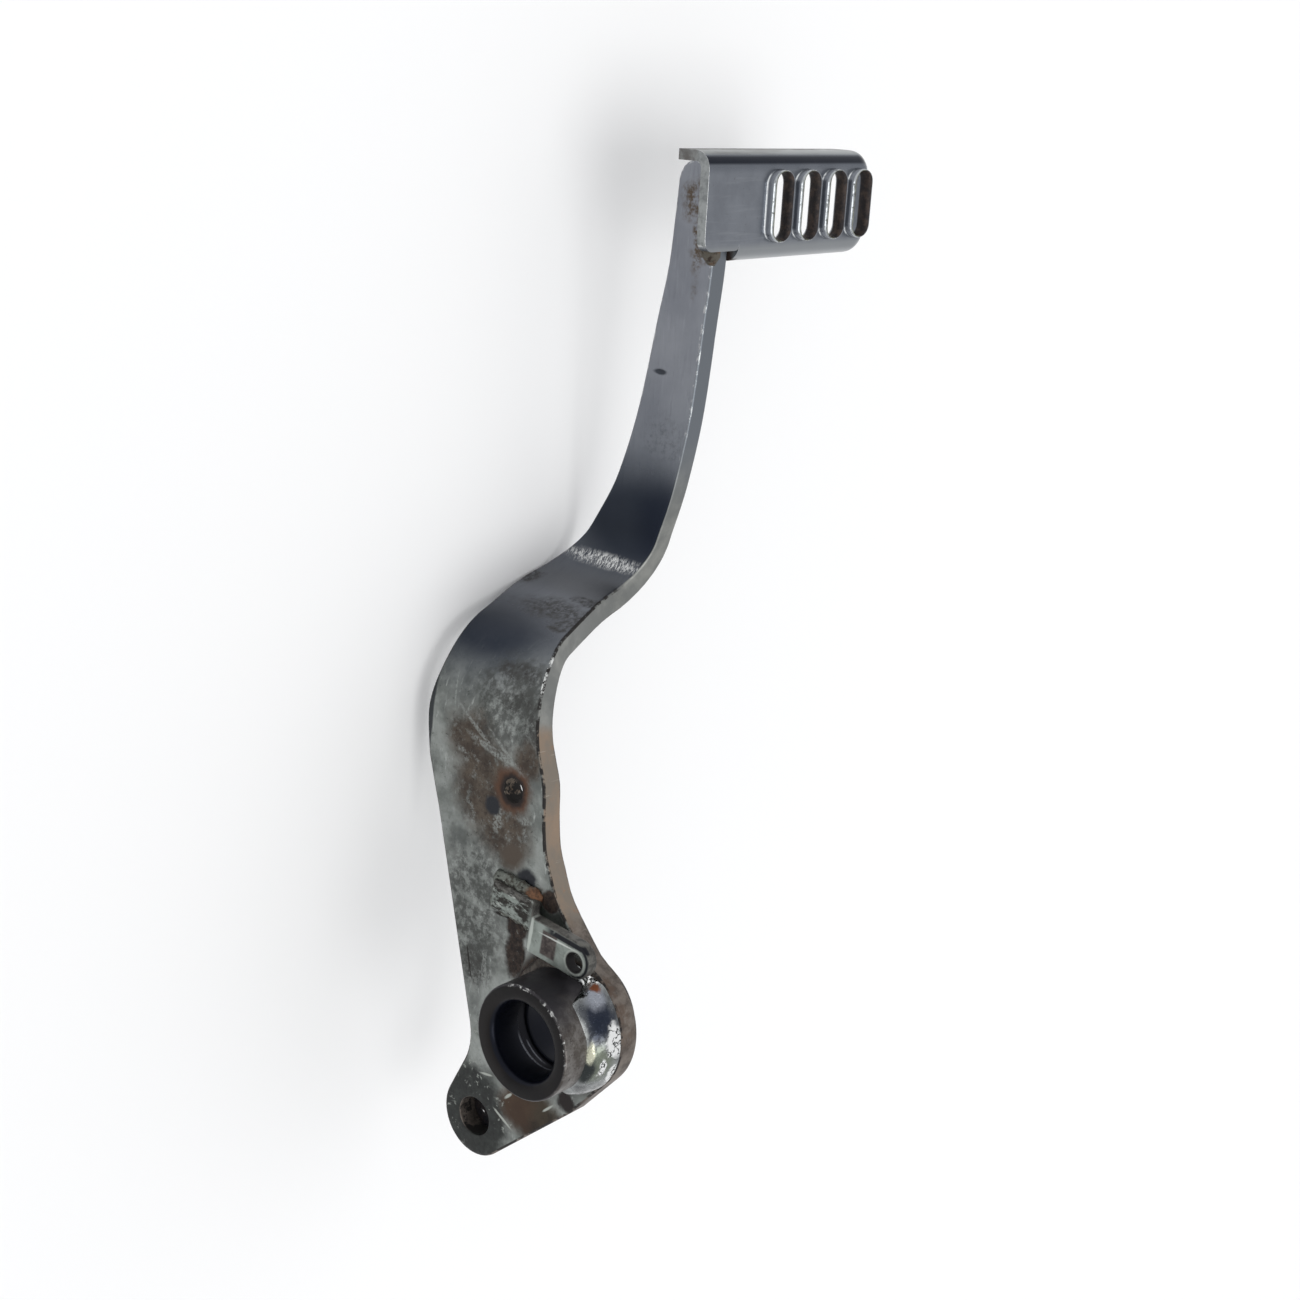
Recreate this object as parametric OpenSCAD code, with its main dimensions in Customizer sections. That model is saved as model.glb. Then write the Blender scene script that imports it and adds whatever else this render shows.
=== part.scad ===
// Rear brake pedal, right side: a flat bar arm with an S bend, a welded pivot tube and a pressed tread.
// +X runs forward from the pivot to the tread, +Z is up and square to the tread, +Y is inboard.
// The origin lies on the pivot axis, in the plane of the arm's inboard face. Millimetres and degrees.

/* [Arm] */
// Thickness of the flat bar
arm_t = 6; // [5:0.5:7]
// Radius on the long edges of the bar
edge_r = 0.9; // [0.6:0.1:1.8]
// Distance from the pivot to the start of the first bend
bend_1_x = 62; // [60:0.5:70]
// Inside radius of the first bend
bend_1_r = 19.5; // [15:0.5:24]
// Inside radius of the second bend
bend_2_r = 13; // [9:0.5:18]
// Sideways offset from the pivot end to the tread end
jog = 50.4; // [44:0.2:58]
// Angle that the bar turns outboard between the two bends
jog_angle = 73.5; // [62:0.5:78]
// Angle that the front stretch toes back inboard
toe_in = 1.5; // [0:0.5:4]
// Distance from the pivot to the arm's front end
arm_reach = 198.6; // [190:0.2:210]
// Width of the bar at the pivot end
root_w = 37.8; // [32:0.2:39]
// Width of the bar between the bends
mid_w = 28; // [25:0.2:31]
// Width of the bar just after the second bend
front_w = 22.2; // [19:0.2:24]
// Width of the bar under the tread
tip_w = 13; // [11:0.2:14]
// Depth of the bar's upper edge below the pivot, at the first bend
drop_1 = 15.2; // [14:0.2:18]
// Depth of the bar's upper edge below the pivot, at the second bend
drop_2 = 30.8; // [27:0.2:33]
// Depth of the bar's upper edge below the pivot, under the tread
drop_tip = 16.8; // [15:0.2:19]
// Radius of the lower corner at the arm's front end
tip_r = 4.5; // [2:0.5:5]

/* [Pivot end] */
// Radius of the arm's round end about the pivot
hub_r = 17.4; // [17:0.1:19]
// Distance that the lug hole lies behind the pivot
lug_x = 37.6; // [34:0.2:42]
// Distance that the lug hole lies below the pivot
lug_z = 26.8; // [24:0.2:29]
// Radius of the lug's round end
lug_r = 10.5; // [9:0.2:11]
// Diameter of the lug hole for the brake rod pin
lug_bore_d = 10; // [8:0.5:12]
// Diameter of the small hole in the arm
arm_bore_d = 6; // [4:0.5:8]
// Distance that the small hole lies ahead of the pivot
arm_bore_x = 51.5; // [48:0.5:54]
// Distance that the small hole lies below the pivot
arm_bore_z = 22.5; // [21:0.5:26]

/* [Pivot tube] */
// Outside diameter of the tube
tube_d = 28; // [26:0.5:30]
// Wall of the tube
tube_wall = 4.5; // [3.5:0.1:6]
// Length of tube that stands inboard of the arm
tube_in = 15.3; // [13:0.1:19]
// Length of tube that stands outboard of the arm
tube_out = 3.6; // [3:0.1:6]
// Break on the tube's end edges
tube_break = 0.7; // [0.4:0.1:1]
// Depth of the grease groove in the bore
groove_depth = 0.7; // [0.4:0.1:1]
// Width of the grease groove in the bore
groove_w = 3.3; // [2:0.1:4]
// Distance from the arm's inboard face to the middle of the groove
groove_y = 4.4; // [3:0.1:6]

/* [Welds] */
// Height of the heavy bead up the tube
bead_h = 8.4; // [6:0.2:9]
// Width of the heavy bead over the arm's face
bead_w = 3.3; // [2.6:0.1:3.4]
// Leg of the light bead around the rest of the tube
bead_leg = 2.2; // [1.6:0.1:2.6]
// Radius of the bead under the tread
tread_bead_r = 2.8; // [2:0.1:3.4]
// Radius of the bead at the spring tab
tab_bead_r = 2; // [2:0.1:3]

/* [Tread] */
// Thickness of the tread sheet
sheet_t = 2.5; // [2:0.1:3]
// Length of the tread across the motorbike
tread_w = 70; // [68:0.5:80]
// Depth of the tread, front to rear
tread_d = 25.6; // [24:0.2:30]
// Height of the flange that is folded down round the tread
flange_h = 9.2; // [8:0.2:11]
// Outside radius of the folds
fold_r = 4; // [3.2:0.1:4.4]
// Radius of the two outboard corners, seen from above
corner_r = 6.4; // [5:0.5:8]
// Overhang of the tread inboard of the arm's face
tread_overhang = 6.8; // [5:0.2:8]
// Turn of the tread about its own vertical
tread_yaw = 4; // [0:0.5:6]
// Number of grip slots
slot_n = 4; // [3:1:4]
// Distance between two grip slots
slot_pitch = 11.6; // [11.4:0.1:11.8]
// Distance from the inboard edge to the first grip slot
slot_first = 28; // [26:0.2:28.4]
// Width of a grip slot
slot_w = 5.5; // [5:0.1:6.6]
// Length of a grip slot
slot_l = 16; // [13:0.5:17]
// Height of the raised rim round a grip slot
rim_h = 1.9; // [1:0.1:2.2]
// Flat width of the rim's crest
crest_w = 1.7; // [0.8:0.1:1.9]

/* [Spring tab] */
// Thickness of the tab
tab_t = 2.8; // [2:0.1:3.2]
// Width of the tab
tab_w = 9; // [8:0.2:10]
// Distance that the tab's free end stands off the arm
tab_lift = 3.4; // [2.4:0.2:4]
// Diameter of the spring hole
tab_bore_d = 4.5; // [3:0.1:5]
// Distance from the tube forward to the tab's foot
tab_clear = 1.9; // [1.5:0.1:3.5]
// Height of the tab's rounded tip centre above the pivot
tab_tip_z = 6.2; // [5:0.2:9]
// Width of the tab's foot
foot_w = 7.2; // [6:0.2:8]
// Length of the tab's foot on the arm
foot_len = 12.6; // [9:0.2:14]

/* [Hidden] */
chrome = [0.50, 0.51, 0.52];
dull = [0.44, 0.45, 0.44];
rusty = [0.36, 0.27, 0.21];
dark = [0.16, 0.16, 0.17];
fine = 72;
eps = 0.01;
bore_d = tube_d - 2 * tube_wall;
tab_x = tube_d / 2 + tab_clear + tab_w / 2;

// Plan path of the inboard face: straight, bend out, straight, bend back, straight
face_1_r = bend_1_r + arm_t;
s_bend_1 = bend_1_x;
s_slant = s_bend_1 + face_1_r * jog_angle * PI / 180;
bend_jogs = face_1_r * (1 - cos(jog_angle)) + bend_2_r * (cos(toe_in) - cos(jog_angle));
slant_len = (jog - bend_jogs) / sin(jog_angle);
s_bend_2 = s_slant + slant_len;
s_front = s_bend_2 + bend_2_r * (jog_angle + toe_in) * PI / 180;
p_slant = [bend_1_x + face_1_r * sin(jog_angle), -face_1_r * (1 - cos(jog_angle))];
p_bend_2 = p_slant + slant_len * [cos(jog_angle), -sin(jog_angle)];
p_front = p_bend_2 + bend_2_r * [sin(toe_in) + sin(jog_angle), cos(jog_angle) - cos(toe_in)];
s_end = s_front + (arm_reach - p_front[0]) / cos(toe_in);

// Direction of travel and place on the plan path, at a distance s along it
function heading(s) =
    s < s_bend_1 ? 0 :
    s < s_slant ? -(s - s_bend_1) / face_1_r * 180 / PI :
    s < s_bend_2 ? -jog_angle :
    s < s_front ? -jog_angle + (s - s_bend_2) / bend_2_r * 180 / PI : toe_in;
function on_path(s) =
    s < s_bend_1 ? [s, 0] :
    s < s_slant ? [bend_1_x, 0] + face_1_r * [-sin(heading(s)), cos(heading(s)) - 1] :
    s < s_bend_2 ? p_slant + (s - s_slant) * [cos(jog_angle), -sin(jog_angle)] :
    s < s_front ? p_bend_2 + bend_2_r * [sin(heading(s)) + sin(jog_angle), cos(jog_angle) - cos(heading(s))] :
    p_front + (s - s_front) * [cos(toe_in), sin(toe_in)];

// Height of the upper edge and width of the bar at chosen distances along the path
tread_y = on_path(s_end)[1] + tread_overhang;
tread_x = arm_reach - tread_d / 2 + sheet_t - 0.4;
nose_r = fold_r - sheet_t + 0.3;
s_seat = s_end - tread_d + 4;
front_len = s_seat - s_front;
fall = drop_2 - drop_1;
rise = drop_2 - drop_tip;
top_rows = [
    [8, 14.4], [22, 0], [29.4, -6.3], [34.4, -8.6], [40, -10.9], [48, -12.1], [54, -12.6],
    [s_bend_1, -drop_1],
    [(s_bend_1 + s_slant) / 2, -drop_1 - fall * 0.304],
    [s_slant, -drop_1 - fall * 0.657],
    [s_bend_2 + 2, -drop_2],
    [s_front, -drop_2 + rise * 0.32],
    [s_front + front_len * 0.2, -drop_2 + rise * 0.6],
    [s_front + front_len * 0.48, -drop_tip - rise * 0.171],
    [s_front + front_len * 0.76, -drop_tip - rise * 0.072],
    [s_seat, -drop_tip], [s_end + 1, -drop_tip]
];
width_rows = [
    [34, root_w - 2.4], [40, root_w - 1.6], [48, root_w], [54, root_w + 1.3],
    [s_bend_1, root_w - 0.3],
    [(s_bend_1 + s_slant) / 2, mid_w + 4.1],
    [s_slant, mid_w + 0.5],
    [s_slant + slant_len * 0.6, mid_w - 0.3],
    [s_bend_2 + 2, front_w + 4.4],
    [s_front, front_w],
    [s_front + front_len * 0.2, front_w - 3.4],
    [s_front + front_len * 0.48, tip_w + 3.5],
    [s_front + front_len * 0.76, tip_w + 1.6],
    [s_seat, tip_w], [s_end + 1, tip_w - 1]
];

// Smooth curve through rows of [distance, value] that never swings past a row
function secant(t, i) = (t[i + 1][1] - t[i][1]) / (t[i + 1][0] - t[i][0]);
function slope(t, i) =
    i == 0 ? secant(t, 0) :
    i == len(t) - 1 ? secant(t, i - 1) :
    secant(t, i - 1) * secant(t, i) <= 0 ? 0 :
    2 * secant(t, i - 1) * secant(t, i) / (secant(t, i - 1) + secant(t, i));
function row_of(t, s, i = 0) = i >= len(t) - 2 || s < t[i + 1][0] ? i : row_of(t, s, i + 1);
function hermite(a, b, ma, mb, h, u) =
    a * (1 + 2 * u) * (1 - u) * (1 - u) + ma * h * u * (1 - u) * (1 - u)
    + b * u * u * (3 - 2 * u) + mb * h * u * u * (u - 1);
function smooth_at(t, s) =
    let(i = row_of(t, s), h = t[i + 1][0] - t[i][0], u = (s - t[i][0]) / h)
    hermite(t[i][1], t[i + 1][1], slope(t, i), slope(t, i + 1), h, u);
function top_at(s) = smooth_at(top_rows, s);
function round_off(s, r) = s > s_end - r ? r - sqrt(max(0, r * r - pow(s - s_end + r, 2))) : 0;
function bottom_at(s) = top_at(s) - smooth_at(width_rows, s) + round_off(s, tip_r);

// Rounded rectangle of the bar at distance s, in space
corner_n = 4;
function section(s) =
    let(p = on_path(s), n = [-sin(heading(s)), cos(heading(s))], r = edge_r,
        hi = top_at(s) - round_off(s, nose_r), lo = bottom_at(s))
    [for (c = [[-r, hi - r, 0], [-arm_t + r, hi - r, 90], [-arm_t + r, lo + r, 180], [-r, lo + r, 270]])
        for (k = [0 : corner_n])
            let(a = c[2] + 90 * k / corner_n, d = c[0] + r * cos(a), z = c[1] + r * sin(a))
            [p[0] + n[0] * d, p[1] + n[1] * d, z]];
sweep_start = 40;
step = 3;
straight_1 = [for (s = [sweep_start : step : s_bend_1 - 1]) s];
bend_1_s = [for (k = [0 : 12]) s_bend_1 + (s_slant - s_bend_1) * k / 12];
slant_s = [for (k = [1 : 5]) s_slant + slant_len * k / 6];
bend_2_s = [for (k = [0 : 12]) s_bend_2 + (s_front - s_bend_2) * k / 12];
front_n = round((s_end - tip_r - s_front) / step);
front_s = [for (k = [1 : front_n]) s_front + (s_end - tip_r - s_front) * k / front_n];
tip_s = [for (k = [1 : 6]) s_end - tip_r + tip_r * sin(15 * k)];
stations = concat(straight_1, bend_1_s, slant_s, bend_2_s, front_s, tip_s);

module bar() {
    m = 4 * (corner_n + 1);
    n = len(stations);
    points = [for (s = stations) each section(s)];
    sides = [for (i = [0 : n - 2]) for (j = [0 : m - 1])
        each [[i * m + j, (i + 1) * m + (j + 1) % m, i * m + (j + 1) % m],
              [i * m + j, (i + 1) * m + j, (i + 1) * m + (j + 1) % m]]];
    first_cap = [[for (j = [0 : m - 1]) j]];
    last_cap = [[for (j = [m - 1 : -1 : 0]) (n - 1) * m + j]];
    polyhedron(points, concat(sides, first_cap, last_cap));
}

// Flat slab of the arm's thickness from an outline in X and Z
module slab(points) {
    rotate([90, 0, 0]) linear_extrude(arm_t) polygon(points);
}
module disc(x, z, r) {
    translate([x, 0, z]) rotate([90, 0, 0]) cylinder(h = arm_t, r = r, $fn = fine);
}
module through(x, z, d) {
    translate([x, 1, z]) rotate([90, 0, 0]) cylinder(h = arm_t + 2, d = d, $fn = fine);
}

// The web runs tangent to the round end above and to the lug below, with a curved neck
lug_dist = norm([lug_x, lug_z]);
web_turn = atan2(-lug_z, -lug_x);
web_open = acos((hub_r - lug_r) / lug_dist);
web_dir = web_turn - web_open;
web_full = 1.3;
web_mid = (hub_r * 0.7 + lug_r * 0.3 + web_full) * [cos(web_dir), sin(web_dir)] - 0.3 * [lug_x, lug_z];
hub_dir = atan2(web_mid[1], web_mid[0]) - acos(hub_r / norm(web_mid));
neck = [-18.6, -29.6];
inside = 0.15;
module pivot_end() {
    hub_t = (hub_r - inside) * [cos(hub_dir), sin(hub_dir)];
    lug_c = [-lug_x, -lug_z];
    lug_t = lug_c + (lug_r - inside) * [cos(web_dir), sin(web_dir)];
    lug_low = lug_c + (lug_r - inside) * [cos(-66), sin(-66)];
    root_top = [for (s = [11.5 : 3 : sweep_start - 1]) [s, top_at(s)]];
    root_end = [[sweep_start, top_at(sweep_start)], [sweep_start, bottom_at(sweep_start)]];
    neck_a = neck + [5.6, -1.5];
    neck_b = neck + [-5.2, -2.4];
    neck_arc = [for (u = [0 : 0.125 : 1])
        neck_a * (1 - u) * (1 - u) + neck * 2 * u * (1 - u) + neck_b * u * u];
    disc(0, 0, hub_r);
    disc(-lug_x, -lug_z, lug_r);
    slab(concat([hub_t, [0, 0]], root_top, root_end, neck_arc, [lug_low, lug_c, lug_t, web_mid]));
}

module lever_arm() {
    color(chrome)
    difference() {
        union() {
            pivot_end();
            bar();
        }
        through(0, 0, tube_d);
        through(-lug_x, -lug_z, lug_bore_d);
        through(arm_bore_x, -arm_bore_z, arm_bore_d);
    }
}

// Turned tube through the arm, with broken edges and a grease groove in the bore
module along_y(y) {
    translate([0, y, 0]) rotate([90, 0, 0]) children();
}
module pivot_tube() {
    ro = tube_d / 2;
    ri = bore_d / 2;
    b = tube_break;
    lo = -arm_t - tube_out;
    g0 = groove_y - groove_w / 2;
    g1 = groove_y + groove_w / 2;
    rg = ri + groove_depth;
    color(dark)
    rotate([-90, 0, 0])
    rotate_extrude($fn = fine)
        polygon([[ri + b, lo], [ro - b, lo], [ro, lo + b], [ro, tube_in - b], [ro - b, tube_in],
                 [ri + b, tube_in], [ri, tube_in - b], [ri, g1], [rg, g1], [rg, g0], [ri, g0], [ri, lo + b]]);
}

// Bead in the corner between the tube and the arm: heavy up the tube on its upper side, light round the rest
bead_from = 26;
bead_to = 160;
bead_taper = 14;
bead_n = 7;
function heavy_at(a) =
    let(u = min(a - bead_from, bead_to - a) / bead_taper)
    u <= 0 ? 0 : u >= 1 ? 1 : u * u * (3 - 2 * u);
function bead_arc(w, h, a) =
    [w * (0.82 * cos(a) + 0.18 * (1 - a / 90)), h * (0.82 * sin(a) + 0.18 * a / 90)];
function bead_profile(w, h) =
    concat([[0, 0], [w, 0]], [for (k = [1 : bead_n - 1]) bead_arc(w, h, 90 * k / bead_n)], [[0, h]]);
function bead_section(a) =
    let(u = heavy_at(a), w = bead_leg + (bead_w - bead_leg) * u, h = bead_leg + (bead_h - bead_leg) * u)
    [for (p = bead_profile(w, h)) [(tube_d / 2 + p[0]) * cos(a), p[1], (tube_d / 2 + p[0]) * sin(a)]];
module pivot_weld_inner() {
    m = bead_n + 2;
    n = 90;
    points = [for (i = [0 : n - 1]) each bead_section(360 * i / n)];
    color(chrome)
    polyhedron(points, [for (i = [0 : n - 1]) for (j = [0 : m - 1])
        let(row = i * m, next = (i + 1) % n * m, k = (j + 1) % m)
        each [[row + j, row + k, next + k], [row + j, next + k, next + j]]]);
}
module ring_bead(leg) {
    rotate([-90, 0, 0]) rotate_extrude($fn = fine)
        translate([tube_d / 2, 0]) polygon(bead_profile(leg, leg));
}
module pivot_weld_outer() {
    leg = min(bead_leg, tube_out - 0.8);
    color(dull)
    translate([0, -arm_t, 0]) mirror([0, 1, 0]) ring_bead(leg);
}

// Pressed tread: a pan folded down at the front, the outboard end and the rear, open inboard
module pan(inset, down) {
    d = tread_d - 2 * inset;
    w = tread_w - inset;
    r = fold_r - inset;
    c = corner_r - inset;
    k = c - r;
    open = inset > 0 ? 2 : 0;
    for (side = [-1, 1]) {
        translate([side * (d / 2 - r), open, -fold_r]) rotate([90, 0, 0])
            cylinder(h = w - c + open, r = r, $fn = fine);
        translate([side * (d / 2 - c), c - w, -fold_r])
            rotate([0, 0, side > 0 ? -90 : 180]) rotate_extrude(angle = 90, $fn = fine)
                translate([k, 0]) intersection() {
                    circle(r = r, $fn = fine);
                    translate([0, -r]) square([r, 2 * r]);
                }
        translate([side * (d / 2 - c), c - w, -down]) cylinder(h = down - fold_r, r = c, $fn = fine);
        translate([side * (d / 2 - c), c - w, -down]) cylinder(h = down - inset, r = k, $fn = fine);
    }
    translate([-d / 2 + c, r - w, -fold_r]) rotate([0, 90, 0]) cylinder(h = d - 2 * c, r = r, $fn = fine);
    translate([-d / 2, c - w, -down]) cube([d, w - c + open, down - fold_r]);
    translate([-d / 2 + c, -w, -down]) cube([d - 2 * c, w + open, down - fold_r]);
    translate([-d / 2 + r, c - w, -down]) cube([d - 2 * r, w - c + open, down - inset]);
    translate([-d / 2 + c, r - w, -down]) cube([d - 2 * c, w - r + open, down - inset]);
}

// A stadium lying along X, with straight or sloping walls
module stadium(length, r_low, r_high, z_low, z_high) {
    half = length / 2;
    for (side = [-1, 1])
        translate([side * half, 0, z_low]) rotate([0, 0, side > 0 ? -90 : 90])
            rotate_extrude(angle = 180, $fn = fine)
                polygon([[0, 0], [r_low, 0], [r_high, z_high - z_low], [0, z_high - z_low]]);
    translate([half, 0, z_low]) rotate([90, 0, -90]) linear_extrude(length)
        polygon([[-r_low, 0], [r_low, 0], [r_high, z_high - z_low], [-r_high, z_high - z_low]]);
}
slot_r = slot_w / 2;
core_l = slot_l - slot_w;
foot_r = slot_pitch / 2 - 0.3;
wall_low = -0.3;
module slots() {
    for (i = [0 : slot_n - 1]) translate([0, -slot_first - i * slot_pitch, 0]) children();
}
notch_b = 12;
notch_r = 1.4;
notch_x = -tread_d / 2 + 2.8;
module tread_pad() {
    color(chrome)
    translate([tread_x, tread_y, sheet_t - drop_tip]) rotate([0, 0, tread_yaw])
    difference() {
        union() {
            difference() {
                pan(0, flange_h);
                pan(sheet_t, flange_h + 1);
            }
            slots() stadium(core_l, foot_r, slot_r + crest_w, 0, rim_h);
            slots() stadium(core_l, foot_r, foot_r, -sheet_t / 2, 0);
        }
        slots() stadium(core_l, slot_r, slot_r, wall_low, rim_h + 1);
        slots() stadium(core_l, foot_r - 0.2, slot_r, -sheet_t - eps, wall_low);
        translate([-tread_d / 2 - 1, -notch_b, -flange_h - 1])
            cube([notch_x + tread_d / 2 + 1, notch_b + 1, flange_h + 2]);
        translate([notch_x - notch_r, -notch_b, -flange_h - 1])
            cylinder(h = flange_h + 2, r = notch_r, $fn = fine);
        translate([-tread_d / 2 - 1, -notch_b - notch_r, -flange_h - 1])
            cube([notch_x + tread_d / 2 + 1 - notch_r, 2 * notch_r, flange_h + 2]);
        translate([notch_x - 1, -notch_b - notch_r, -flange_h - 1])
            cube([fold_r - sheet_t + 0.8, notch_b + notch_r + 1, flange_h + 1 - sheet_t]);
        difference() {
            translate([notch_x - 1, -3, -sheet_t - 1]) cube([4, 4, sheet_t + 2]);
            translate([notch_x + 3, -3, -sheet_t - 2]) cylinder(h = sheet_t + 4, r = 3, $fn = fine);
        }
    }
}

// Bead in the corner between the arm's inboard face and the underside of the tread
module tread_weld() {
    x0 = tread_x - tread_d / 2 + 2;
    run = 13;
    y0 = on_path(s_seat)[1];
    r = tread_bead_r;
    color(rusty)
    intersection() {
        translate([x0, y0, -drop_tip]) rotate([0, 0, toe_in]) {
            rotate([0, 90, 0]) cylinder(h = run, r = r, $fn = fine);
            sphere(r = r, $fn = fine);
            translate([run, 0, 0]) sphere(r = r, $fn = fine);
        }
        translate([x0, y0, -drop_tip]) rotate([0, 0, toe_in]) translate([-20, 0, -20]) cube([60, 20, 20]);
    }
}

// Joggled strip: its foot lies on the arm, its free end stands off and carries the spring hole. Its own
// frame has the tip's centre at the origin and leans with the strip.
tab_lean = 5;
joggle_high = -14.2;
joggle_low = -18;
foot_end = joggle_low - foot_len;
foot_aft = -1.1;
foot_fore = foot_aft + foot_w;
module on_tab() {
    translate([tab_x, 0, tab_tip_z]) rotate([0, -tab_lean, 0]) children();
}
module tab_outline() {
    half = tab_w / 2;
    translate([0, 40, 0]) rotate([90, 0, 0]) linear_extrude(80)
        polygon([[-half, 0], [-half, joggle_high], [foot_aft, joggle_low], [foot_aft, foot_end],
                 [foot_fore, foot_end], [foot_fore, joggle_low], [half, joggle_high], [half, 0]]);
    translate([0, 40, 0]) rotate([90, 0, 0]) cylinder(h = 80, r = half, $fn = fine);
}
module tab_side() {
    n = 8;
    low = [for (k = [0 : n]) let(u = k / n)
        [joggle_low + (joggle_high - joggle_low) * u, tab_lift * (1 - cos(180 * u)) / 2]];
    high = [for (k = [n : -1 : 0]) low[k] + [0, tab_t]];
    ends = tab_w / 2 + 1;
    tip = [[ends, tab_lift], [ends, tab_lift + tab_t]];
    rows = concat([[foot_end, 0]], low, tip, high, [[foot_end, tab_t]]);
    translate([-tab_w, 0, 0]) rotate([90, 0, 90]) linear_extrude(2 * tab_w)
        polygon([for (p = rows) [p[1], p[0]]]);
}
module spring_tab() {
    color(dull)
    on_tab() difference() {
        intersection() {
            tab_side();
            tab_outline();
        }
        translate([-0.6, 20, 0]) rotate([90, 0, 0]) cylinder(h = 40, d = tab_bore_d, $fn = fine);
    }
}

// One bead round the tab's foot: along both long edges and across its end
module tab_weld() {
    r = tab_bead_r;
    run = foot_len - 0.6;
    color(rusty)
    difference() {
        intersection() {
            on_tab() translate([foot_aft, 0, foot_end]) {
                for (x = [0, foot_w]) translate([x, 0, 0]) {
                    cylinder(h = run, r = r, $fn = fine);
                    sphere(r = r, $fn = fine);
                    translate([0, 0, run]) sphere(r = r, $fn = fine);
                }
                rotate([0, 90, 0]) cylinder(h = foot_w, r = r, $fn = fine);
            }
            on_tab() translate([foot_aft - 2 * r, 0, foot_end - 2 * r])
                cube([foot_w + 4 * r, 2 * r, foot_len + 4 * r]);
        }
        spring_tab();
    }
}

lever_arm();
pivot_tube();
pivot_weld_inner();
pivot_weld_outer();
tread_pad();
tread_weld();
spring_tab();
tab_weld();
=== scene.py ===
import bpy
import bmesh
from math import sin, cos, pi, radians, degrees, sqrt, acos, atan2
from mathutils import Vector, Matrix
from mathutils.noise import noise as grain


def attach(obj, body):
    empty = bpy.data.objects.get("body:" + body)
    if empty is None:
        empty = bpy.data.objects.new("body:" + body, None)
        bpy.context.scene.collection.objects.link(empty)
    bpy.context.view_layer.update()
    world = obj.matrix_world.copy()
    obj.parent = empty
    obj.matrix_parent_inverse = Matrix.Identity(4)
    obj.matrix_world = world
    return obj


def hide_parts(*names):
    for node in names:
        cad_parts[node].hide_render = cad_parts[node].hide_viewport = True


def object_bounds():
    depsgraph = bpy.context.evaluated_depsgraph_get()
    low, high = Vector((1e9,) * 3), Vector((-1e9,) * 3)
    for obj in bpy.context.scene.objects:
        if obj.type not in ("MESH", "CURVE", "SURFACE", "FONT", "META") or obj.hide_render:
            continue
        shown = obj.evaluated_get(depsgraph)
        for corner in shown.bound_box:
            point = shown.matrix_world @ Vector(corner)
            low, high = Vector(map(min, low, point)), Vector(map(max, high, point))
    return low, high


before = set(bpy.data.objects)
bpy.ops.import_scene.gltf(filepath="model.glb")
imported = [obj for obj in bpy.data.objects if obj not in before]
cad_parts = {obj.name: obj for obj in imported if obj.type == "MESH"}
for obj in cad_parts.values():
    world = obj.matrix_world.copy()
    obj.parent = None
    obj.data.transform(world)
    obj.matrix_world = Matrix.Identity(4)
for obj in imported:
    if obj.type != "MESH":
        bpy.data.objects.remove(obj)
cad_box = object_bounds()
mm = 0.001


# Lever arm
# One flat bar of 6 mm steel, cut out with its round end and lug, its edges rolled over by polishing, then
# bent sideways twice in a press and chrome plated. Lengths below are millimetres in the flat blank: s along
# the bar from the pivot, z up, and the bend turns them into the finished shape.
arm_t, edge_r = 6.0, 0.8
bend_1_x, face_1_r, bend_2_r = 62.0, 25.5, 13.0
jog, jog_angle, toe_in, arm_reach = 50.4, radians(73.5), radians(1.5), 198.6
hub_r, lug_c, lug_r = 17.4, Vector((-37.6, -26.8)), 10.5
tube_r, rod_hole_r, small_hole, small_hole_r = 14.0, 5.0, Vector((51.5, -22.5)), 3.0
tip_r, toe_r, tip_h = 1.8, 4.5, 12.1
s_slant = bend_1_x + face_1_r * jog_angle
slant = (jog - face_1_r * (1 - cos(jog_angle)) - bend_2_r * (cos(toe_in) - cos(jog_angle))) / sin(jog_angle)
s_bend_2 = s_slant + slant
s_front = s_bend_2 + bend_2_r * (jog_angle + toe_in)
slant_at = Vector((bend_1_x + face_1_r * sin(jog_angle), -face_1_r * (1 - cos(jog_angle))))
bend_2_at = slant_at + slant * Vector((cos(jog_angle), -sin(jog_angle)))
front_at = bend_2_at + bend_2_r * Vector((sin(toe_in) + sin(jog_angle), cos(jog_angle) - cos(toe_in)))
s_end = s_front + (arm_reach - front_at.x) / cos(toe_in)
s_seat = s_end - 21.6
run = s_seat - s_front


def heading(s):
    if s < bend_1_x:
        return 0.0
    if s < s_slant:
        return -(s - bend_1_x) / face_1_r
    if s < s_bend_2:
        return -jog_angle
    return -jog_angle + (s - s_bend_2) / bend_2_r if s < s_front else toe_in


def bent(s, depth, z):
    """Place in space of a point of the blank; depth is 0 on the inboard face and -6 on the outboard one."""
    h = heading(s)
    if s < bend_1_x:
        p = Vector((s, 0.0))
    elif s < s_slant:
        p = Vector((bend_1_x - face_1_r * sin(h), face_1_r * (cos(h) - 1)))
    elif s < s_bend_2:
        p = slant_at + (s - s_slant) * Vector((cos(jog_angle), -sin(jog_angle)))
    elif s < s_front:
        p = bend_2_at + bend_2_r * Vector((sin(h) + sin(jog_angle), cos(jog_angle) - cos(h)))
    else:
        p = front_at + (s - s_front) * Vector((cos(toe_in), sin(toe_in)))
    return Vector((p.x - sin(h) * depth, p.y + cos(h) * depth, z)) * mm


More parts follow.
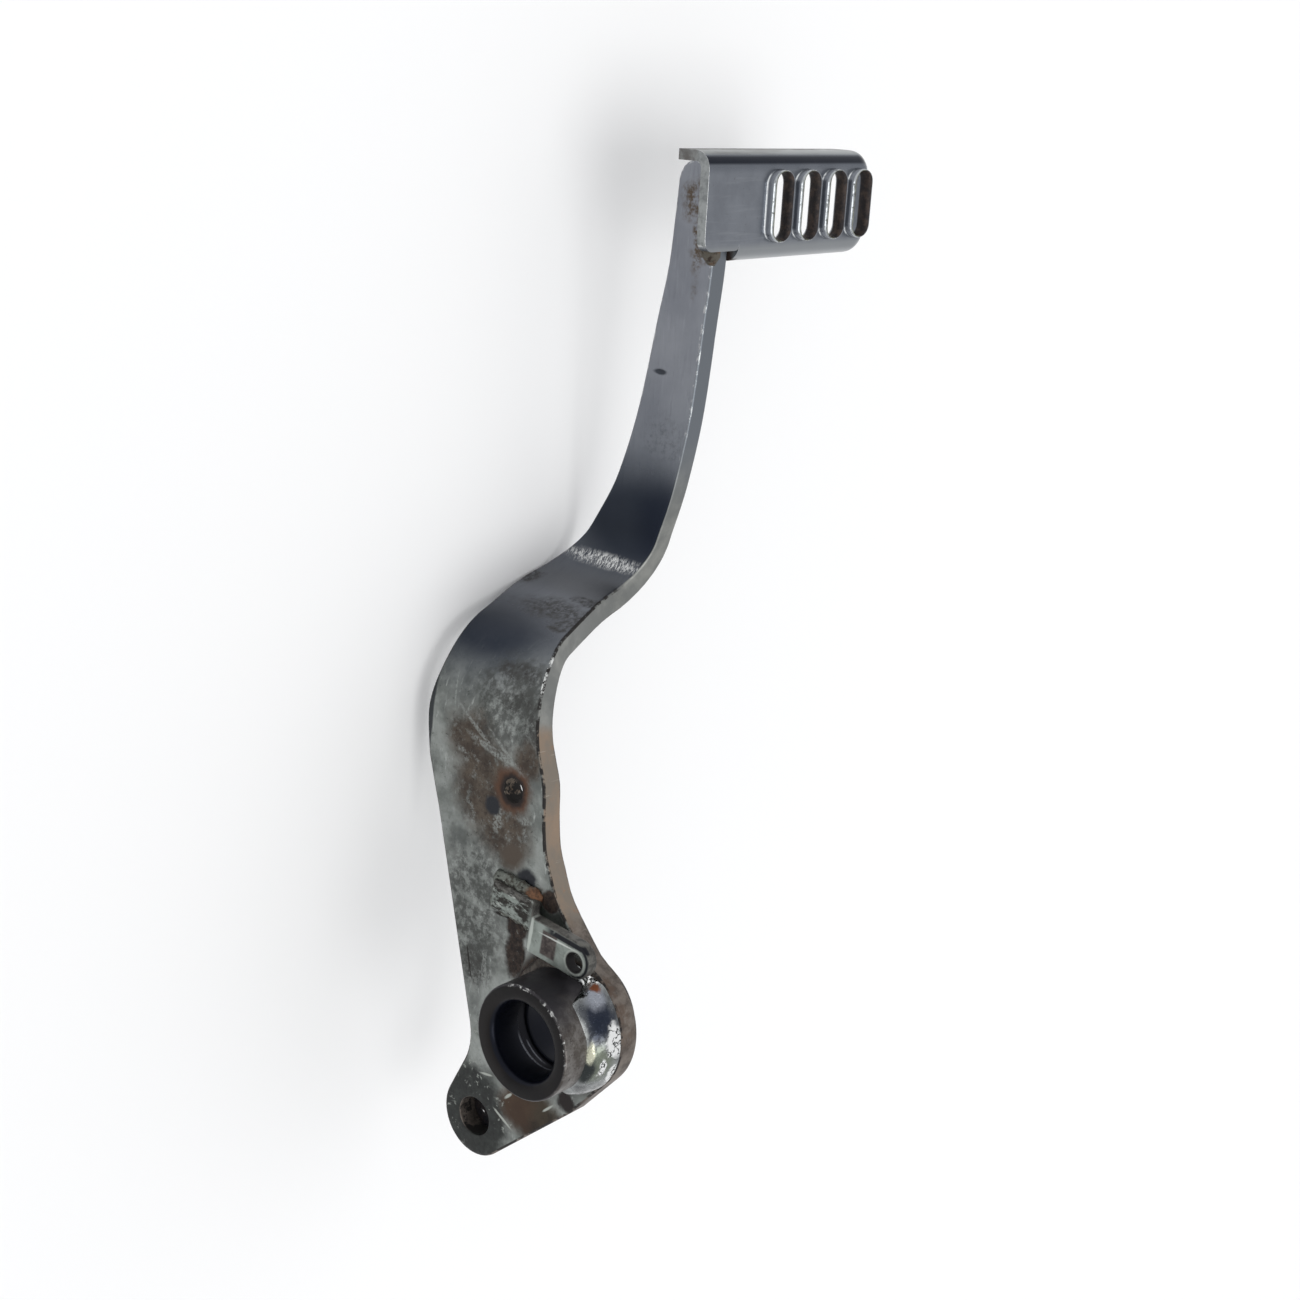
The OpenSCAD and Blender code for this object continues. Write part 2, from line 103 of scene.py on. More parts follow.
upper_rows = [(8, 14.4), (22, 0.0), (29.4, -6.3), (34.4, -8.6), (40, -10.9), (48, -12.1), (54, -12.6),
              (bend_1_x, -15.2), ((bend_1_x + s_slant) / 2, -19.94), (s_slant, -25.45), (s_bend_2 + 2, -30.8),
              (s_front, -26.32), (s_front + run * 0.2, -22.4), (s_front + run * 0.48, -19.19),
              (s_front + run * 0.76, -17.81), (s_seat, -16.8), (s_end + 1, -16.8)]
width_rows = [
    (34, 35.4), (40, 36.2), (48, 37.8), (54, 39.1), (bend_1_x, 37.5), ((bend_1_x + s_slant) / 2, 32.1),
    (s_slant, 28.5), (s_slant + slant * 0.6, 27.7), (s_bend_2 + 2, 26.6), (s_front, 22.2),
    (s_front + run * 0.2, 18.8), (s_front + run * 0.48, 16.5), (s_front + run * 0.76, 14.6), (s_seat, 13.0),
    (s_end + 1, 12.0)]


def eased(rows, s):
    """Smooth curve through rows of (distance, value) that never swings past a row."""
    def secant(i):
        return (rows[i + 1][1] - rows[i][1]) / (rows[i + 1][0] - rows[i][0])

    def slope(i):
        if i == 0 or i == len(rows) - 1:
            return secant(min(i, len(rows) - 2))
        a, b = secant(i - 1), secant(i)
        return 0.0 if a * b <= 0 else 2 * a * b / (a + b)
    i = max(k for k in range(len(rows) - 1) if k == 0 or s >= rows[k][0])
    h = rows[i + 1][0] - rows[i][0]
    u = (s - rows[i][0]) / h
    return (rows[i][1] * (1 + 2 * u) * (1 - u) ** 2 + slope(i) * h * u * (1 - u) ** 2
            + rows[i + 1][1] * u * u * (3 - 2 * u) + slope(i + 1) * h * u * u * (u - 1))


def rounded(s, r):
    return r - sqrt(max(0.0, r * r - (s - s_end + r) ** 2)) if s > s_end - r else 0.0


def steps(a, b, step):
    n = max(1, round(abs(b - a) / step))
    return [a + (b - a) * k / n for k in range(n + 1)]


def arc(c, r, a, b, step=4.0):
    return [(c[0] + r * cos(radians(t)), c[1] + r * sin(radians(t))) for t in steps(a, b, step)]


def loop(bm, points, y=0.0):
    """A closed ring of edges through (x, z) points in the plane of the sheet."""
    vs = [bm.verts.new((x, y, z)) for x, z in points]
    return [bm.edges.new((a, b)) for a, b in zip(vs, vs[1:] + vs[:1])]


def cut_plate(bm, rings, thickness):
    """Fill the outline less its holes, and give the plate its thickness towards -Y."""
    bmesh.ops.triangle_fill(bm, edges=[e for ring in rings for e in ring], use_beauty=True, normal=(0, 1, 0))
    inner = [e for e in bm.edges if len(e.link_faces) == 2]
    bmesh.ops.dissolve_limit(bm, angle_limit=0.02, edges=inner, verts=[], use_dissolve_boundaries=False)
    out = bmesh.ops.extrude_face_region(bm, geom=bm.faces[:])
    bmesh.ops.translate(bm, verts=[v for v in out["geom"] if isinstance(v, bmesh.types.BMVert)],
                        vec=(0, -thickness, 0))
    bmesh.ops.recalc_face_normals(bm, faces=bm.faces[:])


def roll_edges(bm, edges, offset, segments):
    bmesh.ops.bevel(bm, geom=edges, offset=offset, offset_type="OFFSET", segments=segments, profile=0.5,
                    affect="EDGES", material=-1, clamp_overlap=True, loop_slide=True)


def cut_across(bm, places, axis):
    for p in places:
        co, no = [0.0, 0.0, 0.0], [0.0, 0.0, 0.0]
        co[axis], no[axis] = p, 1.0
        bmesh.ops.bisect_plane(bm, geom=bm.verts[:] + bm.edges[:] + bm.faces[:], dist=1e-5, plane_co=co,
                               plane_no=no)


def finished(name, bm, material, smooth=radians(50)):
    """Make the piece's object, shade it smooth except at real corners, and let it ride on the pedal."""
    bmesh.ops.recalc_face_normals(bm, faces=bm.faces[:])
    for f in bm.faces:
        f.smooth = True
    for e in bm.edges:
        e.smooth = not (len(e.link_faces) == 2 and e.calc_face_angle(0) > smooth)
    mesh = bpy.data.meshes.new(name)
    bm.to_mesh(mesh)
    bm.free()
    mesh.materials.append(material)
    piece = bpy.data.objects.new(name, mesh)
    bpy.context.scene.collection.objects.link(piece)
    weighted = piece.modifiers.new("even shading", "WEIGHTED_NORMAL")
    weighted.keep_sharp = True
    weighted.weight = 60
    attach(piece, "root")
    return piece


def rgb(*seen):
    """A colour as the eye sees it, 0 to 255, in the linear values that a shader takes."""
    return tuple(c / 255 / 12.92 if c < 10 else ((c / 255 + 0.055) / 1.055) ** 2.4 for c in seen) + (1.0,)


class Finish:
    """A metal finish that is built up in layers over a plated or bare base, in colours of 0 to 255."""

    def __init__(self, name, base, roughness, metallic=1.0, chart=None):
        self.material = bpy.data.materials.new(name)
        self.material.use_nodes = True
        self.tree = self.material.node_tree
        self.shader = self.tree.nodes["Principled BSDF"]
        self.shader.inputs["Specular IOR Level"].default_value = 0.25
        if chart:
            mark = self.tree.nodes.new("ShaderNodeAttribute")
            mark.attribute_name = chart
            self.at = mark.outputs["Vector"]
        else:
            self.at = self.tree.nodes.new("ShaderNodeTexCoord").outputs["Object"]
        self.colour, self.rough, self.metal, self.height = base, roughness, metallic, None
        self.frayed = {}

    def node(self, kind, **inputs):
        n = self.tree.nodes.new(kind)
        for key, value in inputs.items():
            self.feed(n.inputs[key.replace("_", " ")], value)
        return n

    def feed(self, socket, value):
        if isinstance(value, bpy.types.NodeSocket):
            self.tree.links.new(value, socket)
        else:
            socket.default_value = rgb(*value) if socket.type == "RGBA" else value

    def noise(self, size, detail=6.0, roughness=0.6, stretch=(1, 1, 1), seed=0.0, warp=0.0):
        """Cloudy pattern whose patches are about size millimetres across."""
        spot = self.at
        if stretch != (1, 1, 1):
            spot = self.node("ShaderNodeMapping", Vector=self.at, Scale=stretch).outputs[0]
        n = self.node("ShaderNodeTexNoise", Vector=spot, Scale=1000.0 / size, Detail=detail,
                      Roughness=roughness, Distortion=warp)
        n.noise_dimensions = "4D"
        n.inputs["W"].default_value = seed * 3.7
        return n.outputs["Fac"]

    def attribute(self, name):
        n = self.tree.nodes.new("ShaderNodeAttribute")
        n.attribute_name = name
        return n.outputs["Fac"]

    def step(self, value, low, high):
        """0 below low and 1 above high, with a soft change between."""
        n = self.tree.nodes.new("ShaderNodeMapRange")
        n.interpolation_type = "SMOOTHSTEP"
        for key, v in (("Value", value), ("From Min", low), ("From Max", high)):
            self.feed(n.inputs[key], v)
        return n.outputs["Result"]

    def cloud(self, low, high, *pattern, **seeds):
        """1 in the thick of a noise pattern, above high, and 0 below low."""
        return self.step(self.noise(*pattern, **seeds), low, high)

    def calc(self, kind, a, b=0.0, c=0.0):
        n = self.tree.nodes.new("ShaderNodeMath")
        n.operation = kind
        self.feed(n.inputs[0], a)
        self.feed(n.inputs[1], b)
        self.feed(n.inputs[2], c)
        return n.outputs[0]

    def facing(self, axis):
        g = self.tree.nodes.new("ShaderNodeNewGeometry")
        s = self.node("ShaderNodeSeparateXYZ", Vector=g.outputs["Normal"])
        return s.outputs[axis]

    def place(self, axis):
        return self.node("ShaderNodeSeparateXYZ", Vector=self.at).outputs[axis]

    def zone(self, centre, radii, soft=0.5, ragged=0.35, size=6.0, turn=(0, 0, 0), seed=0.0):
        """1 inside an ellipsoid round a place in millimetres, with an edge broken up by noise."""
        m = self.tree.nodes.new("ShaderNodeMapping")
        m.vector_type = "TEXTURE"
        self.feed(m.inputs["Vector"], self.at)
        m.inputs["Location"].default_value = [c * mm for c in centre]
        m.inputs["Scale"].default_value = [r * mm for r in radii]
        m.inputs["Rotation"].default_value = [radians(t) for t in turn]
        n = self.tree.nodes.new("ShaderNodeVectorMath")
        n.operation = "LENGTH"
        self.feed(n.inputs[0], m.outputs[0])
        return self.fray(n.outputs["Value"], 1.0, soft, ragged, size, seed)

    def patch(self, centre, radius, soft=0.5, ragged=0.35, size=6.0, seed=0.0):
        """1 inside a ball round a place in millimetres, with the same broken edge."""
        n = self.tree.nodes.new("ShaderNodeVectorMath")
        n.operation = "DISTANCE"
        self.feed(n.inputs[0], self.at)
        n.inputs[1].default_value = [c * mm for c in centre]
        return self.fray(n.outputs["Value"], radius * mm, soft, ragged, size, seed)

    def fray(self, far, edge, soft, ragged, size, seed):
        """1 where far is less than edge, with a soft limit that noise pushes in and out."""
        if ragged:
            if (size, seed) not in self.frayed:
                self.frayed[size, seed] = self.noise(size, seed=seed)
            far = self.calc("MULTIPLY_ADD", self.frayed[size, seed], 2 * ragged * edge, far)
        return self.step(far, edge * (1.0 + soft / 2 + ragged), edge * (1.0 - soft / 2 + ragged))

    def scratch(self, a, b, width=0.35, ragged=0.3, size=2.0):
        """Thin tapering line on the arm's inboard face between two (s, z) places in millimetres."""
        run, rise = b[0] - a[0], b[1] - a[1]
        centre = ((a[0] + b[0]) / 2, 0, (a[1] + b[1]) / 2)
        radii = (sqrt(run * run + rise * rise) / 2, 4, width)
        return self.zone(centre, radii, 0.7, ragged, size, (0, -degrees(atan2(rise, run)), 0))

    def spots(self, *rows):
        """Patches on the arm's inboard face, in rows of s, z, radius, soft, ragged and size."""
        return self.either(*[self.patch((s, 0, z), *rest) for s, z, *rest in rows])

    def scratches(self, *rows):
        """Scratches in rows of s, z, s, z, width and ragged."""
        return self.either(*[self.scratch(row[:2], row[2:4], *row[4:]) for row in rows])

    def both(self, mask, *others):
        for m in others:
            mask = self.calc("MULTIPLY", mask, m)
        return mask

    def either(self, mask, *others):
        for m in others:
            mask = self.calc("MAXIMUM", mask, m)
        return mask

    def blend(self, mask, a, b):
        n = self.tree.nodes.new("ShaderNodeMix")
        wide = any(isinstance(v, tuple) or getattr(v, "type", None) == "RGBA" for v in (a, b))
        n.data_type = "RGBA" if wide else "FLOAT"
        ports = (6, 7, 2) if wide else (2, 3, 0)
        self.feed(n.inputs[0], mask)
        self.feed(n.inputs[ports[0]], a)
        self.feed(n.inputs[ports[1]], b)
        return n.outputs[ports[2]]

    def coat(self, mask, colour=None, rough=None, metal=None):
        """Lay a new surface over the ones below, where the mask is 1, or all of a tuple of masks."""
        if isinstance(mask, tuple):
            mask = self.both(*mask)
        if colour is not None:
            self.colour = self.blend(mask, self.colour, colour)
        if rough is not None:
            self.rough = self.blend(mask, self.rough, rough)
        if metal is not None:
            self.metal = self.blend(mask, self.metal, metal)

    def relief(self, value, amount):
        """Add a height in millimetres to the fine relief."""
        v = self.calc("MULTIPLY", value, amount * mm)
        self.height = v if self.height is None else self.calc("ADD", self.height, v)

    def done(self):
        self.feed(self.shader.inputs["Base Color"], self.colour)
        self.feed(self.shader.inputs["Roughness"], self.rough)
        self.feed(self.shader.inputs["Metallic"], self.metal)
        if self.height is not None:
            bump = self.node("ShaderNodeBump", Height=self.height, Strength=1.0, Distance=1.0)
            self.feed(self.shader.inputs["Normal"], bump.outputs[0])
        return self.material


arm = bmesh.new()
down_web = atan2(-lug_c.y, -lug_c.x) + pi - acos((hub_r - lug_r) / lug_c.length)
web_mid = (hub_r * 0.7 + lug_r * 0.3 + 1.3) * Vector((cos(down_web), sin(down_web))) + 0.3 * lug_c
web = degrees(down_web)
hub_turn = degrees(atan2(web_mid.y, web_mid.x) - acos(hub_r / web_mid.length)) % 360
shoulder = 23.4
neck_a, neck, neck_b = Vector((-13.0, -31.1)), Vector((-18.6, -29.6)), Vector((-23.8, -32.0))
outline = arc((0, 0), hub_r, hub_turn, shoulder, 3.5)
outline += [(s, eased(upper_rows, s) - rounded(s, tip_r)) for s in steps(17.5, s_end - tip_r, 2.5)]
outline += [(s_end - tip_r + tip_r * sin(radians(t)),
             eased(upper_rows, s_end) - tip_r + tip_r * cos(radians(t))) for t in (25, 50, 75)]
outline += [(s_end - toe_r + toe_r * sin(radians(t)),
             eased(upper_rows, s_end) - tip_h + toe_r - toe_r * cos(radians(t)))
            for t in (80, 60, 40, 20)]
outline += [(s, eased(upper_rows, s) - eased(width_rows, s)) for s in steps(s_end - toe_r, 40.0, 2.5)]
heel = Vector(outline[-1])
outline += [tuple(heel.lerp(neck_a, u)) for u in (0.2, 0.4, 0.6, 0.8)]
outline += [tuple(neck_a * (1 - u) ** 2 + neck * 2 * u * (1 - u) + neck_b * u * u)
            for u in (0, 0.17, 0.33, 0.5, 0.67, 0.83, 1)]
outline += arc(lug_c, lug_r, -66.0, web - 360, 5.0)
outline += [tuple(web_mid)]
bores = [(Vector((0, 0)), tube_r, 5.0), (lug_c, rod_hole_r, 9.0), (small_hole, small_hole_r, 12.0)]
cut_plate(arm, [loop(arm, outline)] + [loop(arm, arc(c, r, 0, 360, step)[:-1]) for c, r, step in bores],
          arm_t)


def on_rim(e, of_bore):
    a, b = e.verts[0].co, e.verts[1].co
    if abs(a.y - b.y) > 1e-4 or len(e.link_faces) != 2 or e.calc_face_angle(0) < 1.0:
        return False
    return any(abs((Vector((a.x, a.z)) - c).length - r) < 0.05 for c, r, _ in bores) == of_bore


roll_edges(arm, [e for e in arm.edges if on_rim(e, False)], edge_r, 4)
roll_edges(arm, [e for e in arm.edges if on_rim(e, True)], 0.35, 3)
cut_across(arm, steps(-46, s_end - 3, 2.4) + steps(175.4, 179.8, 0.4), 0)
cut_across(arm, steps(-54, 15, 3.0) + steps(-32.6, -27.0, 0.7), 2)
rim = arm.verts.layers.float.new("rim")
blank = arm.verts.layers.float_vector.new("blank")
for v in arm.verts:
    s, d, z = v.co
    v[blank] = v.co * mm
    v[rim] = 1.0 if 0.05 < min(-d, arm_t + d) < edge_r - 0.05 else 0.0
    wave = Vector((s * 0.06, d * 0.05, z * 0.06))
    lump = 0.10 * grain(wave) + 0.04 * grain(wave * 3.1)
    clear = min(1.0, max(0.0, (sqrt(s * s + z * z) - 18) / 8))
    dent = max(0.0, 1 - ((s - 177.5) / 0.9) ** 2 - ((z + 29.8) / 1.9) ** 2)
    v.co = bent(s, d + (lump * clear - 0.55 * dent if d > -0.1 else 0.0), z)

plate = Finish("arm chrome", (130, 133, 139), 0.32, chart="blank")
s, z = plate.place("X"), plate.place("Z")
far = plate.calc("SQRT", plate.calc("ADD", plate.both(s, s), plate.both(z, z)))
mottle = plate.noise(7, 6, 0.62, seed=4)
fine = plate.noise(1.5, 6, 0.7, seed=3)
grit = plate.noise(1.3, 8, 0.85, seed=5)
plate.coat(plate.cloud(0.4, 0.66, 18, 4, 0.5), (119, 122, 129), 0.38)
plate.coat((plate.cloud(0.5, 0.75, 1.0, 6, 0.7, (0.12, 1, 1), 2), 0.4), (148, 151, 156), 0.28)
plate.coat((plate.cloud(0.52, 0.72, 0.9, 6, 0.7, (0.15, 1, 1), 12), 0.45), (98, 101, 108), 0.36)
plate.coat(plate.cloud(0.64, 0.72, 2.4, 8, 0.8, seed=71), (80, 82, 86), 0.45, 0.7)
plate.coat((plate.step(s, 0.182, 0.152), 0.38), (84, 90, 98), 0.34)
# lower half: the chrome is dull, grey-green and gritty
lower = plate.step(s, 0.100, 0.066)
plate.coat(lower, plate.blend(plate.step(mottle, 0.36, 0.64), (113, 117, 114), (151, 155, 152)), 0.46)
plate.coat((lower, plate.cloud(0.5, 0.7, 13, 5, 0.6, seed=7), 0.75), (94, 97, 96), 0.5)
plate.coat((plate.step(grit, 0.56, 0.64), lower, plate.cloud(0.36, 0.55, 9, 3, seed=8)),
           (58, 60, 58), 0.65, 0.5)
plate.coat((plate.cloud(0.57, 0.68, 1.2, 5, 0.7, (0.3, 1, 1), 31), lower, 0.7), (176, 180, 177), 0.4)
# painted reflection: the two bends are painted dark navy, as if they mirrored something dark, and painted
# shade makes the slant between them a little darker
plate.coat((plate.zone((89, 0, -45), (13, 5, 19), 1.3, 0.1, 20), 0.92), (36, 42, 54), 0.2)
plate.coat((plate.zone((138, 0, -35), (15, 5, 22), 1.2, 0.1, 20), 0.95), (42, 47, 56), 0.2)
plate.coat((plate.zone((140, 0, -25), (11, 5, 8), 1.2, 0.1, 20), 0.8), (33, 38, 49), 0.18)
plate.coat((plate.zone((117, 0, -34), (7, 5, 24), 1.2, 0.1, 20), 0.75), (88, 90, 94), 0.35)
# painted highlight: polishing marks on the far side of the slant, painted bright as if they caught the light
highlight_band = plate.zone((127, 0, -41), (1.9, 4, 13), 1.0, 0.5, 3)
plate.coat((highlight_band, plate.cloud(0.42, 0.62, 0.45, 5, 0.75, (0.35, 1, 1), 6)), (222, 223, 222), 0.3)
plate.coat((plate.patch((160, 0, -27), 6.5, 1.2, 0.4, 5), plate.step(grit, 0.45, 0.68)), (92, 95, 99), 0.45)
# painted shade: darker where the dent is pressed into the face
plate.coat(plate.zone((177.5, 0, -29.8), (0.7, 3, 2.0), 0.6, 0.3, 2), (64, 67, 73), 0.4)
stain = plate.either(
    plate.zone((103, 0, -38), (4.5, 4, 10), 0.9, 0.7, 7), plate.zone((110, 0, -32), (2, 4, 5), 0.6, 0.9, 3),
    plate.zone((79.8, 0, -28), (2.4, 4, 7), 0.9, 1.2, 5), plate.zone((73, 0, -25), (2.6, 4, 6), 0.9, 1.2, 4),
    plate.zone((67, 0, -18.6), (9, 4, 2.6), 0.9, 0.6, 4),
    plate.spots((101, -26, 4, 0.8, 0.8, 5), (114, -56, 3.4, 0.6, 0.8, 4), (97, -30, 3, 0.6, 0.9, 4),
                (3, -31, 5, 0.9, 0.9, 4)))
plate.coat((stain, plate.step(fine, 0.34, 0.6), 0.85), (58, 56, 55), 0.55, 0.6)
plate.coat((stain, plate.step(grit, 0.54, 0.62)), (34, 33, 34), 0.6, 0.3)
# brown dirt round the small hole, smeared by hand
dirt = plate.either(
    plate.zone((50, 0, -32), (12, 4, 9.5), 0.8, 0.5, 7),
    plate.spots((60.5, -37, 7.6, 0.9, 0.6, 7), (41, -24, 8.4, 0.8, 0.5, 7), (60, -18.5, 4.4, 0.9, 0.6, 5)))
plate.coat((dirt, plate.cloud(0.28, 0.5, 2.4, 7, 0.75, seed=17)),
           plate.blend(plate.cloud(0.35, 0.65, 5, 6, 0.7, seed=2), (60, 52, 46), (86, 77, 68)), 0.68, 0.2)
plate.coat((dirt, plate.cloud(0.56, 0.68, 1.6, 6, 0.75, seed=62), 0.6), (124, 128, 123), 0.45)
plate.coat((dirt, plate.step(grit, 0.53, 0.6), 0.7), (40, 35, 32), 0.7, 0.2)
old = plate.spots((24, -32, 11, 0.9, 0.6, 7), (11, -32, 11, 0.9, 0.6, 7), (72, -28, 11, 0.9, 0.6, 7))
plate.coat((old, plate.cloud(0.4, 0.57, 2.6, 7, 0.75, seed=63), 0.8), (66, 67, 65), 0.6, 0.5)
smear = plate.scratches(
    (61.5, -38, 57.2, -21, 1.0, 0.8), (58, -26, 50.5, -17.5, 0.7, 0.7), (68, -43, 58, -27, 0.5, 0.8),
    (64, -31, 54, -17, 0.5, 0.8), (46, -26, 39.5, -27, 1.4, 1.2), (44.8, -19.6, 45.6, -15.8, 1.0, 1.0),
    (75, -46, 66, -43.6, 0.25, 0.4), (9, -27.7, -4, -27, 0.8, 0.9), (5.6, -25, -3, -25.8, 0.4, 0.8))
plate.coat((smear, plate.cloud(0.4, 0.58, 0.8, 5, 0.7, seed=14), 0.75), (146, 150, 147), 0.4, 0.9)
plate.coat(plate.patch((51.5, 0, -22.5), 5.7, 0.6, 0.6, 4), (84, 60, 46), 0.8, 0.05)
# painted shade: the small hole's wall and the edge round it are near black
plate.coat(plate.zone((51.5, -2, -22.5), (4.3, 9, 4.1), 0.35, 0.3, 2.5), (36, 29, 27), 0.7, 0.1)
plate.coat(plate.spots((45.9, -28.5, 2.4, 0.5, 0.4, 3), (31, -15.6, 2.9, 0.7, 0.6, 3)),
           (38, 40, 45), 0.35, 0.5)
plate.coat(plate.patch((35.6, 0, -21), 3.6, 0.8, 0.7, 5), (82, 73, 65), 0.6, 0.4)
dark_line = plate.scratches(
    (28.4, -25.2, 24.2, -25, 0.7, 0.8), (26.3, -23.4, 27.2, -15.2, 0.3, 0.6),
    (19.2, -25.6, 20.2, -15.6, 0.5, 0.8), (7, -33.6, -1, -31.4, 0.25, 0.8))
plate.coat(dark_line, (36, 33, 31), 0.6, 0.3)
# brown runs beside the tread's weld
runs = plate.either(
    plate.zone((213, 0, -21.5), (13, 3, 1.6), 0.8, 0.8, 4),
    plate.spots((207, -20.5, 2.6, 0.9, 0.9, 4), (219, -23, 4.0, 0.9, 0.9, 4)))
plate.coat((runs, plate.cloud(0.4, 0.58, 2, 7, 0.75, seed=73)), (84, 72, 60), 0.6, 0.3)
# old dirt in a ring round the tube, dark beside the tab's foot between tab and tube, and a painted shadow of
# the tab on the face between its far side and the arm's upper edge
dirt_and_tab_shadow = plate.either(
    plate.zone((11, 0, -17.4), (7, 4, 3.2), 0.5, 0.6, 4),
    plate.both(plate.step(far, 0.0193, 0.0163), plate.step(mottle, 0.36, 0.5)),
    plate.spots((18.2, -17.6, 3.7, 0.4, 0.5, 4), (28, -7.8, 2.9, 0.3, 0.3, 3)))
plate.coat((dirt_and_tab_shadow, plate.cloud(0.3, 0.44, 2, 8, 0.8, seed=72)),
           plate.blend(plate.step(grit, 0.42, 0.6), (34, 28, 27), (68, 57, 50)), 0.75, 0.15)
# grease on the lug, rust beside it and on the round end
plate.coat((plate.patch((-36.5, 0, -28), 13.2, 0.4, 0.4, 6), 0.95),
           plate.blend(plate.cloud(0.4, 0.68, 3.4, 6, 0.7, seed=19), (14, 16, 16), (40, 44, 42)), 0.3, 0.4)
plate.coat(plate.zone((-28, 0, -8), (7, 7, 10), 0.6, 0.5, 6),
           plate.blend(plate.step(mottle, 0.4, 0.6), (38, 33, 28), (62, 54, 43)), 0.65, 0.3)
plate.coat((plate.patch((-29, 0, -13), 5.6, 0.9, 0.7, 4), 0.6), (74, 54, 41), 0.7, 0.15)
plate.coat(plate.patch((-20.5, 0, 2.5), 2.8, 0.6, 0.7, 3), (34, 28, 27), 0.6, 0.2)
pale = plate.spots(
    (-26, -28, 5, 0.5, 0.7, 4), (-33, -18, 4.6, 0.6, 1.0, 4), (-15, -30, 3.6, 0.6, 0.7, 4),
    (-46, -33, 4.2, 0.6, 1.0, 4), (-38, -37.4, 4, 0.6, 1.0, 4))
plate.coat((pale, plate.cloud(0.57, 0.64, 1.7, 6, 0.7, seed=23)), (142, 146, 141), 0.45, 0.8)
crease = plate.scratches(
    (-32.4, -20.3, -35.3, -14.5, 0.35, 0.5), (-28, -17, -26, -15, 0.4, 0.6), (-26, -4.4, -23, -1.4, 0.3, 0.5),
    (-24.8, -26, -24, -21.8, 0.3, 0.4))
plate.coat(crease, (162, 166, 160), 0.4, 0.9)
hub_side = plate.zone((3, 0, 19), (17, 9, 9), 0.35, 0.3, 8)
plate.coat(hub_side,
           plate.blend(plate.cloud(0.35, 0.65, 3.5, 6, 0.7, seed=25), (84, 78, 74), (124, 116, 109)), 0.5,
           0.6)
# the bar's upper edge: grey in front, tan where the plating has gone, brown at the round end
edge = plate.step(plate.facing("Z"), 0.55, 0.8)
plate.coat(edge, plate.blend(plate.cloud(0.4, 0.65, 9, 5, 0.6, seed=41), (122, 124, 122), (146, 147, 143)),
           0.42)
plate.coat((edge, plate.step(s, 0.14, 0.165)), (112, 117, 123), 0.4)
bare = plate.both(edge, plate.step(s, 0.0705, 0.0665))
plate.coat(
    bare, plate.blend(plate.cloud(0.36, 0.62, 8, 5, 0.65, (0.5, 1, 1), 42), (143, 125, 108), (126, 118, 108)),
    0.6, 0.35)
plate.coat((bare, plate.cloud(0.56, 0.66, 5, 6, 0.7, seed=46), 0.7), (150, 112, 82), 0.65, 0.2)
round_end = plate.both(plate.facing("Z"), plate.step(s, 0.034, 0.014))
plate.coat(plate.step(round_end, 0.2, 0.5),
           plate.blend(plate.cloud(0.36, 0.62, 4, 6, 0.7, seed=45), (82, 75, 70), (120, 112, 105)), 0.55,
           0.55)
plate.coat((bare, plate.step(s, 0.018, 0.03), plate.cloud(0.62, 0.7, 1.6, 4, 0.6, (1.6, 0.12, 1), 43)),
           (176, 168, 158), 0.4, 0.5)
hub_rust = plate.either(
    plate.patch((13.7, -1, 11.5), 2.6, 0.5, 0.7, 2.5), plate.patch((8.6, -1, 16.2), 2.8, 0.6, 0.7, 3),
    plate.patch((3, -2, 20), 3.8, 0.7, 0.6, 4))
plate.coat((hub_rust, plate.cloud(0.36, 0.56, 1.6, 5, 0.7, seed=64), 0.8), (88, 73, 63), 0.75, 0.15)
plate.coat(plate.patch((10.2, 0, 15.5), 1.0, 0.5, 0.4, 2), (40, 28, 26), 0.8, 0.1)
# the corner between face and edge: painted highlight, bright in one bend and dotted in front; dark and broken
# behind
corner = plate.step(plate.attribute("rim"), 0.3, 0.9)
plate.coat((corner, plate.step(s, 0.13, 0.112), plate.cloud(0.42, 0.52, 3, 5, 0.7, seed=44)),
           (42, 40, 39), 0.6, 0.4)
highlight_dash = plate.cloud(0.5, 0.6, 1.6, 5, 0.75, (0.6, 1, 1), 9)
plate.coat(
    (corner, highlight_dash,
     plate.either(plate.patch((82, 0, -21), 6.6, 0.6, 0.4, 4), plate.both(plate.step(s, 0.15, 0.17), 0.45))),
    (222, 224, 222), 0.22)
plate.coat((plate.zone((62, 0, -52.6), (13, 4, 1.9), 0.3, 0.15, 4), 0.9), (48, 51, 55), 0.35)
plate.relief(plate.noise(2.5, 6, 0.65), 0.02)
plate.relief(plate.both(lower, plate.noise(0.9, 4, 0.6, seed=50)), 0.05)
plate.relief(plate.both(dirt, plate.noise(0.6, 5, 0.7, seed=51)), 0.06)
lever = finished("lever_arm_plate", arm, plate.done())
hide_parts("lever_arm")


